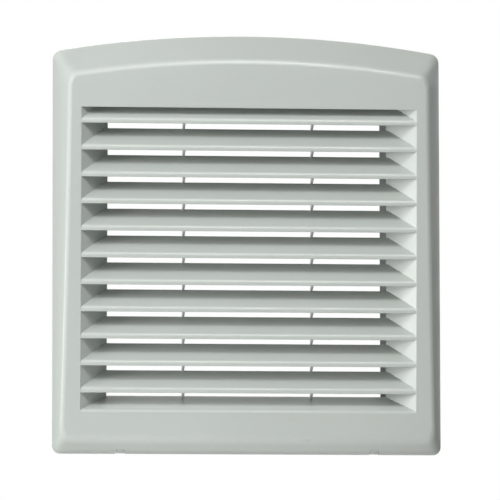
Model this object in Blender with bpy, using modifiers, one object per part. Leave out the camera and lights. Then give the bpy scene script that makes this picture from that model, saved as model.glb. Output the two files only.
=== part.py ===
"""Panel-mounted ventilation grille with a hinged louvre cover.

The origin is the centre of the square panel cut-out, on the outer face of the panel.
X points right, Z up, and the front of the grille looks along -Y. Sizes are in millimetres
and are turned into metres where the meshes are made.
"""

import math

import bmesh
import bpy
from mathutils import Matrix, Vector

MM = 0.001

# Clearances
FIT_GAP = 0.3
HINGE_SIDE_GAP = 0.4

# Panel that the grille is made for
CUTOUT = 223.0
PANEL_THICKNESS = 2.0

# Cover: how far its outline on the panel side covers the panel round the cut-out
SIDE_OVERLAP = 12.5
BOTTOM_OVERLAP = 12.5
TOP_OVERLAP = 32.7
ARCH_RADIUS = 704.0
TOP_CORNER_RADIUS = 6.0
BOTTOM_CORNER_RADIUS = 5.0
COVER_WALL = 2.2
COVER_STANDOFF = 1.0

# Cover: depth of the front face and width of the bevels round it
DEPTH_TOP = 24.0
DEPTH_BOTTOM = 11.8
SIDE_BEVEL_TOP = 9.7
SIDE_BEVEL_BOTTOM = 5.4
TOP_BEVEL = 18.3
BOTTOM_ROLL = 8.5
RIDGE_TOP_RADIUS = 8.0
RIDGE_BOTTOM_RADIUS = 7.0
RIM_SIDE = 2.5
RIM_TOP = 3.2
RIM_BOTTOM = 5.0
FILLET_SIDE_RIM = 2.0
FILLET_SIDE_RIDGE = 2.8
FILLET_TOP_RIM = 3.5
FILLET_TOP_RIDGE = 8.0
FILLET_BOTTOM_RIM = 6.5
FILLET_BOTTOM_RIDGE = 12.0

# Louvre field, with its margins inside the cut-out's edges
FIELD_SIDE_MARGIN = 4.5
FIELD_TOP_MARGIN = 16.6
FIELD_BOTTOM_MARGIN = 8.41
FIRST_LIP_DROP = 10.0
LOUVRE_PITCH = 17.09
LOUVRE_DEPTH = 14.0
LOUVRE_RISE = 15.9
LOUVRE_LINE_START = 3.0
LOUVRE_NOSE_RADIUS = 4.0
LOUVRE_BACK_THICKNESS = 2.6
SIDE_TAPER = 1.2
DUCT_TOP_RISE = 10.6
SILL_LINE_RISE = 6.19
SILL_NOSE_RADIUS = 3.0
RIB_SPACING = 82.0
RIB_THICKNESS = 1.5

# Base frame
FLANGE_THICKNESS = 2.8
FLANGE_SIDE_INSET = 4.3
FLANGE_TOP_INSET = 5.2
FLANGE_BOTTOM_INSET = 5.8
FLANGE_CORNER_RADIUS = 4.0
SPIGOT_CLEARANCE = 1.5
SPIGOT_WALL = 2.2
SPIGOT_DEPTH = 37.0
SPIGOT_CORNER_RADIUS = 4.0
REAR_LIP_THICKNESS = 2.0
REAR_LIP_SIDE = 17.8
REAR_LIP_TOP = 9.8
GUIDE_RIB_MARGIN = 18.0
GUIDE_RIB_WIDTH = 1.6
GUIDE_RIB_LENGTH = 13.0
GUIDE_RIB_CLEARANCE = 0.3

# Gasket
GASKET_THICKNESS = 1.5
GASKET_INNER_CLEARANCE = 0.7
GASKET_WIDTH = 6.6
GASKET_BOTTOM_WIDTH = 5.2
GASKET_CORNER_RADIUS = 5.0

# Hinge at the bottom edge
HINGE_SPACING = 140.0
HINGE_AXIS_DEPTH = 4.0
HINGE_AXIS_RISE = 2.4
KNUCKLE_LENGTH = 8.0
KNUCKLE_RADIUS = 2.3
TRUNNION_RADIUS = 1.2
TRUNNION_LENGTH = 7.0
LUG_LENGTH = 5.0
LUG_RADIUS = 2.5
NOTCH_CLEARANCE = 0.4
HINGE_INSET = 0.1

# Snap latches at the top edge
LATCH_SPACING = 120.0
LATCH_WIDTH = 14.0
CATCH_OFFSET = 6.6
CATCH_LENGTH = 10.0
CATCH_THICKNESS = 2.0
TONGUE_THICKNESS = 1.8
TONGUE_STANDOFF = 2.6

# Fixing screws with their washers and nuts
SCREW_OFFSET = 3.8
SCREW_CORNER_MARGIN = 11.5
SCREW_RADIUS = 1.95
SCREW_HEAD_RADIUS = 3.5
SCREW_HEAD_HEIGHT = 1.7
SCREW_LENGTH = 16.0
RECESS_LENGTH = 3.8
RECESS_WIDTH = 0.8
RECESS_DEPTH = 1.2
WASHER_RADIUS = 4.0
WASHER_THICKNESS = 0.8
NUT_FLATS = 7.0
NUT_HEIGHT = 3.2

# Spring clips in the walls of the base frame
CLIP_SPACING = 120.0
CLIP_WIDTH = 14.0
CLIP_THICKNESS = 0.6
CLIP_WINDOW_FRONT = 3.0
CLIP_WINDOW_REAR = 16.7
CLIP_LEG = 5.0
CLIP_HAIRPIN = 7.4
CLIP_TIP_REACH = 7.0
CLIP_TIP_START = 5.2
CLIP_TIP_END = 3.2
CLIP_WINDOW_SIDE = 0.8

# Faces used for the curves
ARC_STEPS = 4
CORNER_STEPS = 7
SIDE_STEPS = 9
ARCH_STEPS = 9
NOSE_STEPS = 4
ROUND_STEPS = 20

# Values that follow from the sizes above
HALF_WIDTH = CUTOUT / 2 + SIDE_OVERLAP
COVER_BOTTOM = CUTOUT / 2 + BOTTOM_OVERLAP
COVER_APEX = CUTOUT / 2 + TOP_OVERLAP
FIELD_HALF = CUTOUT / 2 - FIELD_SIDE_MARGIN
FIELD_TOP = CUTOUT / 2 - FIELD_TOP_MARGIN
LOUVRE_FIRST_LIP = FIELD_TOP - FIRST_LIP_DROP
SILL_LIP = FIELD_BOTTOM_MARGIN - CUTOUT / 2
LOUVRE_COUNT = round((LOUVRE_FIRST_LIP - SILL_LIP) / LOUVRE_PITCH)
LOUVRE_STEP = (LOUVRE_FIRST_LIP - SILL_LIP) / LOUVRE_COUNT
ARCH_CENTRE = COVER_APEX - ARCH_RADIUS
GASKET_FRONT = -GASKET_THICKNESS
FLANGE_BACK = GASKET_FRONT - FIT_GAP
FLANGE_FRONT = FLANGE_BACK - FLANGE_THICKNESS
SPIGOT_HALF = CUTOUT / 2 - SPIGOT_CLEARANCE
SPIGOT_INNER = SPIGOT_HALF - SPIGOT_WALL
RIDGE_TOP_Z = ARCH_CENTRE + math.sqrt(
    (ARCH_RADIUS - TOP_BEVEL) ** 2 - (HALF_WIDTH - SIDE_BEVEL_TOP) ** 2)
RIDGE_BOTTOM_Z = BOTTOM_ROLL - COVER_BOTTOM
HINGE_AXIS_Y = -HINGE_AXIS_DEPTH
HINGE_AXIS_HEIGHT = HINGE_AXIS_RISE - COVER_BOTTOM
CATCH_HEIGHT = CUTOUT / 2 + CATCH_OFFSET
SCREW_X = CUTOUT / 2 + SCREW_OFFSET
SCREW_Z = CUTOUT / 2 - SCREW_CORNER_MARGIN
CLIP_WINDOW_WIDTH = CLIP_WIDTH + 2 * CLIP_WINDOW_SIDE


def fall(z):
    """Share of the way from the top values to the bottom values, along a smooth curve."""
    s = (RIDGE_TOP_Z - z) / (RIDGE_TOP_Z - RIDGE_BOTTOM_Z)
    s = max(s, 0.0)
    return 0.5 * s + 0.5 * s * s


def face_depth(z):
    """How far the front face stands in front of the panel at height z."""
    return DEPTH_TOP - (DEPTH_TOP - DEPTH_BOTTOM) * fall(z)


def side_bevel(z):
    """Width of the side bevel at height z."""
    return SIDE_BEVEL_TOP - (SIDE_BEVEL_TOP - SIDE_BEVEL_BOTTOM) * fall(z)


def new_collection(name):
    collection = bpy.data.collections.new(name)
    bpy.context.scene.collection.children.link(collection)
    return collection


def make_material(name, colour, roughness, metallic=0.0):
    material = bpy.data.materials.new(name)
    material.use_nodes = True
    shader = material.node_tree.nodes["Principled BSDF"]
    shader.inputs["Base Color"].default_value = (*colour, 1.0)
    shader.inputs["Roughness"].default_value = roughness
    shader.inputs["Metallic"].default_value = metallic
    material.diffuse_color = (*colour, 1.0)
    return material


def object_from_bmesh(name, bm, collection):
    """Closes a bmesh into a new object, with millimetres turned into metres."""
    bmesh.ops.recalc_face_normals(bm, faces=bm.faces)
    bmesh.ops.scale(bm, vec=(MM, MM, MM), verts=bm.verts)
    mesh = bpy.data.meshes.new(name)
    bm.to_mesh(mesh)
    bm.free()
    obj = bpy.data.objects.new(name, mesh)
    collection.objects.link(obj)
    return obj


def box(name, low, high, collection):
    bm = bmesh.new()
    bmesh.ops.create_cube(bm, size=1.0)
    size = [high[i] - low[i] for i in range(3)]
    centre = [(high[i] + low[i]) / 2 for i in range(3)]
    bmesh.ops.scale(bm, vec=size, verts=bm.verts)
    bmesh.ops.translate(bm, vec=centre, verts=bm.verts)
    return object_from_bmesh(name, bm, collection)


def cylinder(name, radius, start, end, collection, radius_end=None, steps=ROUND_STEPS):
    """A cylinder or cone between two points."""
    start = Vector(start)
    end = Vector(end)
    line = end - start
    bm = bmesh.new()
    bmesh.ops.create_cone(
        bm, cap_ends=True, segments=steps, radius1=radius,
        radius2=radius if radius_end is None else radius_end, depth=line.length)
    turn = line.to_track_quat("Z", "Y").to_matrix().to_4x4()
    place = Matrix.Translation((start + end) / 2) @ turn
    bmesh.ops.transform(bm, matrix=place, verts=bm.verts)
    return object_from_bmesh(name, bm, collection)


def prism(name, outline, y_front, y_back, collection):
    """An outline in X and Z drawn out along Y."""
    bm = bmesh.new()
    front = [bm.verts.new((x, y_front, z)) for x, z in outline]
    face = bm.faces.new(front)
    drawn = bmesh.ops.extrude_face_region(bm, geom=[face])
    verts = [item for item in drawn["geom"] if isinstance(item, bmesh.types.BMVert)]
    bmesh.ops.translate(bm, vec=(0, y_back - y_front, 0), verts=verts)
    return object_from_bmesh(name, bm, collection)


def turned(name, profile, collection, steps=ROUND_STEPS):
    """A shape turned about the Y axis, from pairs of radius and distance along Y."""
    bm = bmesh.new()
    verts = [bm.verts.new((radius, 0, -along)) for radius, along in profile]
    for a, b in zip(verts, verts[1:]):
        bm.edges.new((a, b))
    bmesh.ops.scale(bm, vec=(MM, MM, MM), verts=bm.verts)
    mesh = bpy.data.meshes.new(name)
    bm.to_mesh(mesh)
    bm.free()
    obj = bpy.data.objects.new(name, mesh)
    collection.objects.link(obj)
    lathe = obj.modifiers.new("lathe", "SCREW")
    lathe.steps = steps
    lathe.render_steps = steps
    lathe.use_merge_vertices = True
    lathe.merge_threshold = 0.00001
    freeze(obj)
    obj.data.transform(Matrix.Rotation(math.radians(90), 4, "X"))
    return obj


def combine(target, operation, tools):
    """Adds Boolean modifiers to the target, one for each tool."""
    for tool in tools:
        modifier = target.modifiers.new(tool.name, "BOOLEAN")
        modifier.operation = operation
        modifier.solver = "EXACT"
        modifier.object = tool
        tool.hide_render = True
        tool.display_type = "WIRE"


def freeze(obj):
    """Keeps the object's evaluated mesh and drops its modifiers."""
    graph = bpy.context.evaluated_depsgraph_get()
    mesh = bpy.data.meshes.new_from_object(obj.evaluated_get(graph))
    obj.modifiers.clear()
    obj.data = mesh


def finish(obj, material, angle=32.0):
    """Gives the object its material and smooth shading with sharp corners kept."""
    if obj.modifiers:
        freeze(obj)
    obj.data.materials.clear()
    obj.data.materials.append(material)
    obj.data.shade_smooth()
    obj.data.set_sharp_from_angle(angle=math.radians(angle))


def arc(centre, radius, start, end, steps):
    """Points on an arc in a plane, with the angles in degrees."""
    points = []
    for i in range(steps + 1):
        a = math.radians(start + (end - start) * i / steps)
        points.append((centre[0] + radius * math.cos(a), centre[1] + radius * math.sin(a)))
    return points


def rounded_rectangle(half_x, low_z, high_z, radius, steps=ARC_STEPS):
    inner_x = half_x - radius
    points = arc((inner_x, low_z + radius), radius, -90, 0, steps)
    points += arc((inner_x, high_z - radius), radius, 0, 90, steps)
    points += arc((-inner_x, high_z - radius), radius, 90, 180, steps)
    points += arc((-inner_x, low_z + radius), radius, 180, 270, steps)
    return points


def resample(points, steps):
    """Points at equal distances along a line through the given points."""
    lengths = [0.0]
    for a, b in zip(points, points[1:]):
        lengths.append(lengths[-1] + math.dist(a, b))
    result = []
    for i in range(steps + 1):
        wanted = lengths[-1] * i / steps
        k = 0
        while k < len(points) - 2 and lengths[k + 1] < wanted:
            k += 1
        share = (wanted - lengths[k]) / (lengths[k + 1] - lengths[k])
        a, b = points[k], points[k + 1]
        result.append((a[0] + (b[0] - a[0]) * share, a[1] + (b[1] - a[1]) * share))
    return result


def top_corner(half_width, arch_radius, radius, steps):
    """The arc that rounds the corner between the right side and the arched top."""
    inner = half_width - radius
    centre_z = ARCH_CENTRE + math.sqrt((arch_radius - radius) ** 2 - inner ** 2)
    end = math.degrees(math.atan2(centre_z - ARCH_CENTRE, inner))
    return arc((inner, centre_z), radius, 0, end, steps)


def arch_height(x, inset=0.0):
    return ARCH_CENTRE + math.sqrt((ARCH_RADIUS - inset) ** 2 - x * x)


def arched_outline(side, top, bottom, top_radius, bottom_radius):
    """The cover's outline moved inwards by the given insets, as a closed loop."""
    half = HALF_WIDTH - side
    low = bottom - COVER_BOTTOM
    right = arc((half - bottom_radius, low + bottom_radius), bottom_radius, -90, 0, ARC_STEPS)
    corner = top_corner(half, ARCH_RADIUS - top, top_radius, ARC_STEPS)
    right += corner
    end_x = corner[-1][0]
    for i in range(1, ARCH_STEPS):
        x = end_x * (1 - i / ARCH_STEPS)
        right.append((x, arch_height(x, top)))
    left = [(-x, z) for x, z in reversed(right)]
    return right + [(0.0, arch_height(0.0, top))] + left


def blend(a, b, share):
    return tuple(p + (q - p) * share for p, q in zip(a, b))


def cover_stations():
    """Matched points on the outer outline and on the ridge of the front face.

    They run from the bottom centre round the right side to the top centre. Each station
    holds the outline point, the ridge point, the height of the rim and the two fillets.
    """
    bottom_style = (RIM_BOTTOM, FILLET_BOTTOM_RIM, FILLET_BOTTOM_RIDGE)
    side_style = (RIM_SIDE, FILLET_SIDE_RIM, FILLET_SIDE_RIDGE)
    top_style = (RIM_TOP, FILLET_TOP_RIM, FILLET_TOP_RIDGE)

    def ridge_side(z):
        return (HALF_WIDTH - side_bevel(z), z)

    low_x = ridge_side(RIDGE_BOTTOM_Z)[0] - RIDGE_BOTTOM_RADIUS
    low_z = RIDGE_BOTTOM_Z + RIDGE_BOTTOM_RADIUS
    ridge_corner = top_corner(
        HALF_WIDTH - SIDE_BEVEL_TOP, ARCH_RADIUS - TOP_BEVEL, RIDGE_TOP_RADIUS, CORNER_STEPS)
    high_x, high_z = ridge_corner[-1][0], ridge_corner[0][1]

    stations = [((0.0, -COVER_BOTTOM), (0.0, RIDGE_BOTTOM_Z), bottom_style)]

    outer = [(low_x, -COVER_BOTTOM)]
    outer += arc((HALF_WIDTH - BOTTOM_CORNER_RADIUS, BOTTOM_CORNER_RADIUS - COVER_BOTTOM),
                 BOTTOM_CORNER_RADIUS, -90, 0, 6)
    outer += [(HALF_WIDTH, low_z)]
    inner = arc((low_x, low_z), RIDGE_BOTTOM_RADIUS, -90, 0, 6)
    pairs = zip(resample(outer, CORNER_STEPS), resample(inner, CORNER_STEPS))
    for i, (a, b) in enumerate(pairs):
        stations.append((a, b, blend(bottom_style, side_style, i / CORNER_STEPS)))

    for i in range(1, SIDE_STEPS):
        z = low_z + (high_z - low_z) * i / SIDE_STEPS
        stations.append(((HALF_WIDTH, z), ridge_side(z), side_style))

    outer = [(HALF_WIDTH, high_z)]
    outer += top_corner(HALF_WIDTH, ARCH_RADIUS, TOP_CORNER_RADIUS, 6)
    arch_start = outer[-1][0]
    outer += [(x, arch_height(x)) for x in (
        arch_start + (high_x - arch_start) * i / 3 for i in range(1, 4))]
    pairs = zip(resample(outer, CORNER_STEPS + 2), resample(ridge_corner, CORNER_STEPS + 2))
    for i, (a, b) in enumerate(pairs):
        share = i / (CORNER_STEPS + 2)
        if i == 0:
            b = ridge_side(high_z)
        stations.append((a, b, blend(side_style, top_style, share)))

    for i in range(1, ARCH_STEPS + 1):
        x = high_x * (1 - i / ARCH_STEPS)
        stations.append(((x, arch_height(x)), (x, arch_height(x, TOP_BEVEL)), top_style))
    return stations


def section(length, depth, style, wall):
    """Profile of the rim, the bevel and the ridge, as distances inwards and forwards.

    The wall moves the profile inwards, which gives the inner face of the moulding.
    """
    rim, rim_fillet, ridge_fillet = style
    slant = math.atan2(length, depth - rim)
    run = math.hypot(length, depth - rim)
    turn_rim = math.tan(slant / 2)
    turn_ridge = math.tan((math.pi / 2 - slant) / 2)
    corner_a = (wall, rim - wall * turn_rim)
    corner_b = (length + wall * turn_ridge, depth - wall)
    start = min(max(rim_fillet - wall, 0.5), 0.9 * (corner_a[1] - COVER_STANDOFF) / turn_rim)
    end = max(ridge_fillet - wall, 0.5)
    limit = 0.96 * run / (start * turn_rim + end * turn_ridge)
    start *= min(limit, 1.0)
    end *= min(limit, 1.0)
    along = (math.sin(slant), math.cos(slant))
    points = []
    centre = (corner_a[0] + start, corner_a[1] - start * turn_rim)
    for i in range(ARC_STEPS):
        a = math.pi - slant * i / (ARC_STEPS - 1)
        points.append((centre[0] + start * math.cos(a), centre[1] + start * math.sin(a)))
    back = end * turn_ridge
    first = (corner_b[0] - along[0] * back, corner_b[1] - along[1] * back)
    centre = (corner_b[0] + back, corner_b[1] - end)
    angle = math.atan2(first[1] - centre[1], first[0] - centre[0])
    for i in range(ARC_STEPS + 1):
        a = angle + (math.pi / 2 - angle) * i / ARC_STEPS
        points.append((centre[0] + end * math.cos(a), centre[1] + end * math.sin(a)))
    return points


def cover_solid(name, wall, back, collection):
    """The cover's outer form, or its hollow when a wall is given, as one closed solid."""
    columns = []
    for outline, ridge, style in cover_stations():
        across = (ridge[0] - outline[0], ridge[1] - outline[1])
        length = math.hypot(*across)
        unit = (across[0] / length, across[1] / length)
        profile = section(length, face_depth(ridge[1]), style, wall)
        column = []
        for u, v in [(profile[0][0], -back)] + profile:
            column.append([outline[0] + unit[0] * u, -v, outline[1] + unit[1] * u])
        column[-1][1] = wall - face_depth(column[-1][2])
        columns.append(column)
    bm = bmesh.new()
    right = [[bm.verts.new(p) for p in column] for column in columns]
    left = [[v if abs(v.co.x) < 1e-6 else bm.verts.new((-v.co.x, v.co.y, v.co.z))
             for v in column] for column in right]

    last = len(columns[0]) - 1
    for i in range(len(columns) - 1):
        for j in range(last):
            bm.faces.new((right[i][j], right[i + 1][j], right[i + 1][j + 1], right[i][j + 1]))
            bm.faces.new((left[i][j], left[i][j + 1], left[i + 1][j + 1], left[i + 1][j]))
    # The front and the back are closed in level strips; the first holds the bottom edge.
    for j in (0, last):
        low = right[0][j].co.z + 0.001
        first = next(i for i, column in enumerate(right) if column[j].co.z > low)
        bm.faces.new([right[i][j] for i in range(first + 1)]
                     + [left[i][j] for i in range(first, 0, -1)])
        for i in range(first, len(columns) - 2):
            bm.faces.new((right[i][j], right[i + 1][j], left[i + 1][j], left[i][j]))
        bm.faces.new((right[-2][j], right[-1][j], left[-2][j]))
    return object_from_bmesh(name, bm, collection)


def nose_profile(line_start, rise, radius, depth):
    """Upper edge of a louvre: a rounded nose that runs into a straight slope."""
    slope = math.atan2(rise - line_start, depth)
    turn = math.pi / 2 - slope
    tangent = radius * math.tan(turn / 2)
    centre = (radius, line_start - tangent)
    points = []
    for i in range(NOSE_STEPS + 1):
        a = math.pi - turn * i / NOSE_STEPS
        points.append((centre[0] + radius * math.cos(a), centre[1] + radius * math.sin(a)))
    points.append((depth, rise))
    return points


def field_half(depth):
    """Half the width of the louvre field at a depth behind the front face."""
    return FIELD_HALF - SIDE_TAPER * depth


def duct_solid(name, lower, upper, margin, collection):
    """The tapering air duct of the cover between a lower and an upper profile line.

    Both lines hold pairs of depth behind the front face and height, at the same depths.
    """
    rows = 9
    side_margin = margin * math.hypot(1.0, SIDE_TAPER)
    low_face = lower[0][1]
    high_face = upper[0][1]
    bm = bmesh.new()
    grid = []
    for (depth, low), (_, high) in zip(lower, upper):
        half = field_half(depth) + side_margin
        column = []
        for i in range(rows):
            share = i / (rows - 1)
            z = low + (high - low) * share
            y = depth - face_depth(low_face + (high_face - low_face) * share)
            column.append((bm.verts.new((-half, y, z)), bm.verts.new((half, y, z))))
        grid.append(column)
    for i in range(len(grid) - 1):
        a, b = grid[i], grid[i + 1]
        for j in range(rows - 1):
            bm.faces.new((a[j][0], b[j][0], b[j + 1][0], a[j + 1][0]))
            bm.faces.new((a[j][1], a[j + 1][1], b[j + 1][1], b[j][1]))
        bm.faces.new((a[0][0], a[0][1], b[0][1], b[0][0]))
        bm.faces.new((a[-1][0], b[-1][0], b[-1][1], a[-1][1]))
    for column in (grid[0], grid[-1]):
        for j in range(rows - 1):
            bm.faces.new((column[j][0], column[j][1], column[j + 1][1], column[j + 1][0]))
    return object_from_bmesh(name, bm, collection)


def sill_line():
    """Upper edge of the sill, from the front face to the back edge of the louvres."""
    return nose_profile(SILL_LIP + SILL_LINE_RISE, SILL_LIP + LOUVRE_RISE,
                        SILL_NOSE_RADIUS, LOUVRE_DEPTH)


def duct_bore(collection):
    """The cutter that opens the louvre field."""
    line = sill_line()
    slope = (line[-1][1] - line[-2][1]) / (line[-1][0] - line[-2][0])
    reach = 5.0
    lower = [(-reach, line[0][1])] + [(line[0][0] + 0.03, line[0][1])] + line[1:]
    lower.append((LOUVRE_DEPTH + reach, line[-1][1] + slope * reach))
    rise = DUCT_TOP_RISE / LOUVRE_DEPTH
    upper = [(depth, FIELD_TOP + rise * max(depth, 0.0)) for depth, _ in lower]
    return duct_solid("duct_bore", lower, upper, 0.0, collection)


def duct_wall(collection):
    """The outer faces of the duct behind the front face."""
    line = sill_line()
    end = LOUVRE_DEPTH + 1.0
    slope = (line[-1][1] - line[-2][1]) / (line[-1][0] - line[-2][0])
    start = COVER_WALL / 2
    back_z = line[-1][1] + slope * (end - LOUVRE_DEPTH)
    wall = COVER_WALL * math.hypot(1.0, slope)
    lower = [(start, back_z - slope * (end - start) - wall), (end, back_z - wall)]
    rise = DUCT_TOP_RISE / LOUVRE_DEPTH
    upper = [(depth, FIELD_TOP + rise * depth + wall) for depth, _ in lower]
    return duct_solid("duct_wall", lower, upper, COVER_WALL, collection)


def louvre_lip(index):
    return LOUVRE_FIRST_LIP - LOUVRE_STEP * index


def louvre(index, collection):
    """One blade, with its ends mitred into the tapering side walls of the duct."""
    top = nose_profile(LOUVRE_LINE_START, LOUVRE_RISE, LOUVRE_NOSE_RADIUS, LOUVRE_DEPTH)
    profile = [(0.9, 0.0), (0.35, 0.0), (0.0, 0.35)] + top
    profile.append((LOUVRE_DEPTH, LOUVRE_RISE - LOUVRE_BACK_THICKNESS))
    lip = louvre_lip(index)
    face = face_depth(lip)
    bm = bmesh.new()
    ends = []
    for side in (-1, 1):
        ends.append([bm.verts.new((side * (field_half(depth) + COVER_WALL / 2), depth - face,
                                   lip + height)) for depth, height in profile])
    count = len(profile)
    bm.faces.new(ends[0])
    bm.faces.new(ends[1])
    for i in range(count):
        j = (i + 1) % count
        bm.faces.new((ends[0][i], ends[0][j], ends[1][j], ends[1][i]))
    return object_from_bmesh(f"louvre_{index + 1:02d}", bm, collection)


def louvre_rib(index, side, collection):
    """The web that ties a blade to the one below, on one of the two rib lines."""
    lip = louvre_lip(index)
    face = face_depth(lip)
    under = (LOUVRE_RISE - LOUVRE_BACK_THICKNESS) / (LOUVRE_DEPTH - 0.9)
    rear = LOUVRE_DEPTH - 0.5
    inside = LOUVRE_BACK_THICKNESS / 2
    below = LOUVRE_RISE - LOUVRE_STEP - inside
    outline = [
        (1.2 - face, lip + 1.3),
        (rear - 0.6 - face, lip + below),
        (rear - face, lip + below),
        (rear - face, lip + under * (rear - 0.9) + inside),
    ]
    x = side * RIB_SPACING / 2
    bm = bmesh.new()
    verts = [bm.verts.new((x - RIB_THICKNESS / 2, y, z)) for y, z in outline]
    face = bm.faces.new(verts)
    drawn = bmesh.ops.extrude_face_region(bm, geom=[face])
    moved = [item for item in drawn["geom"] if isinstance(item, bmesh.types.BMVert)]
    bmesh.ops.translate(bm, vec=(RIB_THICKNESS, 0, 0), verts=moved)
    name = f"rib_{'left' if side < 0 else 'right'}_{index + 1:02d}"
    return object_from_bmesh(name, bm, collection)


def hinge_span(side):
    """Ends of the knuckle, the lug and the trunnion of one hinge along X."""
    knuckle = HINGE_SPACING / 2
    lug = knuckle + KNUCKLE_LENGTH + HINGE_SIDE_GAP
    spans = {
        "knuckle": (knuckle, knuckle + KNUCKLE_LENGTH),
        "lug": (lug, lug + LUG_LENGTH),
        "trunnion": (lug + 0.5 - TRUNNION_LENGTH, lug + 0.5),
        "notch": (lug - HINGE_SIDE_GAP + 0.02, lug + LUG_LENGTH + HINGE_SIDE_GAP),
    }
    return {key: tuple(side * value for value in pair) for key, pair in spans.items()}


def make_cover(parts, cutters, material):
    cover = cover_solid("front_cover", 0.0, -COVER_STANDOFF, parts)
    hollow = cover_solid("cover_hollow", COVER_WALL, 6.0, cutters)
    combine(cover, "DIFFERENCE", [hollow])
    combine(cover, "UNION", [latch_tongue(side, cutters) for side in (-1, 1)])
    combine(cover, "DIFFERENCE", [hinge_notch(side, cutters) for side in (-1, 1)])
    combine(cover, "UNION", [knuckle(side, cutters) for side in (-1, 1)])
    combine(cover, "DIFFERENCE", [knuckle_bore(side, cutters) for side in (-1, 1)])
    combine(cover, "UNION", [duct_wall(cutters)])
    combine(cover, "DIFFERENCE", [duct_bore(cutters)])
    freeze(cover)
    blades = [louvre(i, cutters) for i in range(LOUVRE_COUNT)]
    combine(cover, "UNION", blades)
    freeze(cover)
    ribs = [louvre_rib(i, side, cutters) for i in range(LOUVRE_COUNT) for side in (-1, 1)]
    combine(cover, "UNION", ribs)
    finish(cover, material)
    return cover


def trim_to_cover(tool, collection):
    """Cuts a hinge piece off just under the cover's outer face, so it doesn't stand proud."""
    form = cover_solid("cover_form", HINGE_INSET, -COVER_STANDOFF, collection)
    combine(tool, "INTERSECT", [form])
    freeze(tool)
    return tool


def knuckle(side, collection):
    """The eye on the cover's bottom wall that turns on the trunnion."""
    a, b = hinge_span(side)["knuckle"]
    axis = (HINGE_AXIS_Y, HINGE_AXIS_HEIGHT)
    eye = cylinder("cover_knuckle", KNUCKLE_RADIUS, (a, *axis), (b, *axis), collection)
    return trim_to_cover(eye, collection)


def knuckle_bore(side, collection):
    a, b = hinge_span(side)["knuckle"]
    axis = (HINGE_AXIS_Y, HINGE_AXIS_HEIGHT)
    beyond = side * 2.0
    return cylinder("knuckle_bore", TRUNNION_RADIUS + FIT_GAP,
                    (a - beyond, *axis), (b + beyond, *axis), collection)


def hinge_notch(side, collection):
    """The gap in the cover's bottom wall that the hinge lug stands in."""
    low, high = sorted(hinge_span(side)["notch"])
    reach = LUG_RADIUS + NOTCH_CLEARANCE
    return box("cover_notch", (low, HINGE_AXIS_Y - reach, -COVER_BOTTOM - 2.5),
               (high, 2.0, HINGE_AXIS_HEIGHT + reach), collection)


def latch_tongue(side, collection):
    """The tongue that hangs behind the front face and slides over its catch."""
    x = side * LATCH_SPACING / 2
    low = CATCH_HEIGHT + CATCH_THICKNESS + FIT_GAP
    root = 0.7 * COVER_WALL - face_depth(low)
    return box("latch_tongue",
               (x - LATCH_WIDTH / 2, root, low),
               (x + LATCH_WIDTH / 2, FLANGE_FRONT - TONGUE_STANDOFF, low + TONGUE_THICKNESS),
               collection)


def screw_places():
    """Screw positions with the names of their corners."""
    for vertical, z in (("top", SCREW_Z), ("bottom", -SCREW_Z)):
        for horizontal, x in (("left", -SCREW_X), ("right", SCREW_X)):
            yield f"{vertical}_{horizontal}", x, z


def clip_places():
    """Clip positions: name, wall direction in X and Z, and place along the wall."""
    offset = CLIP_SPACING / 2
    for wall, normal in (("left", (-1, 0)), ("right", (1, 0)), ("top", (0, 1)), ("bottom", (0, -1))):
        ends = ("lower", "upper") if normal[0] else ("left", "right")
        for end, along in zip(ends, (-offset, offset)):
            yield f"{wall}_{end}", normal, along


def wall_matrix(normal, along):
    """Turns a clip's own frame, with the wall's normal along X, into the grille's frame."""
    out = Vector((normal[0], 0, normal[1]))
    depth = Vector((0, 1, 0))
    width = out.cross(depth)
    matrix = Matrix((out, depth, width)).transposed().to_4x4()
    matrix.translation = (out * SPIGOT_HALF + Vector((abs(normal[1]), 0, abs(normal[0]))) * along) * MM
    return matrix


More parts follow.
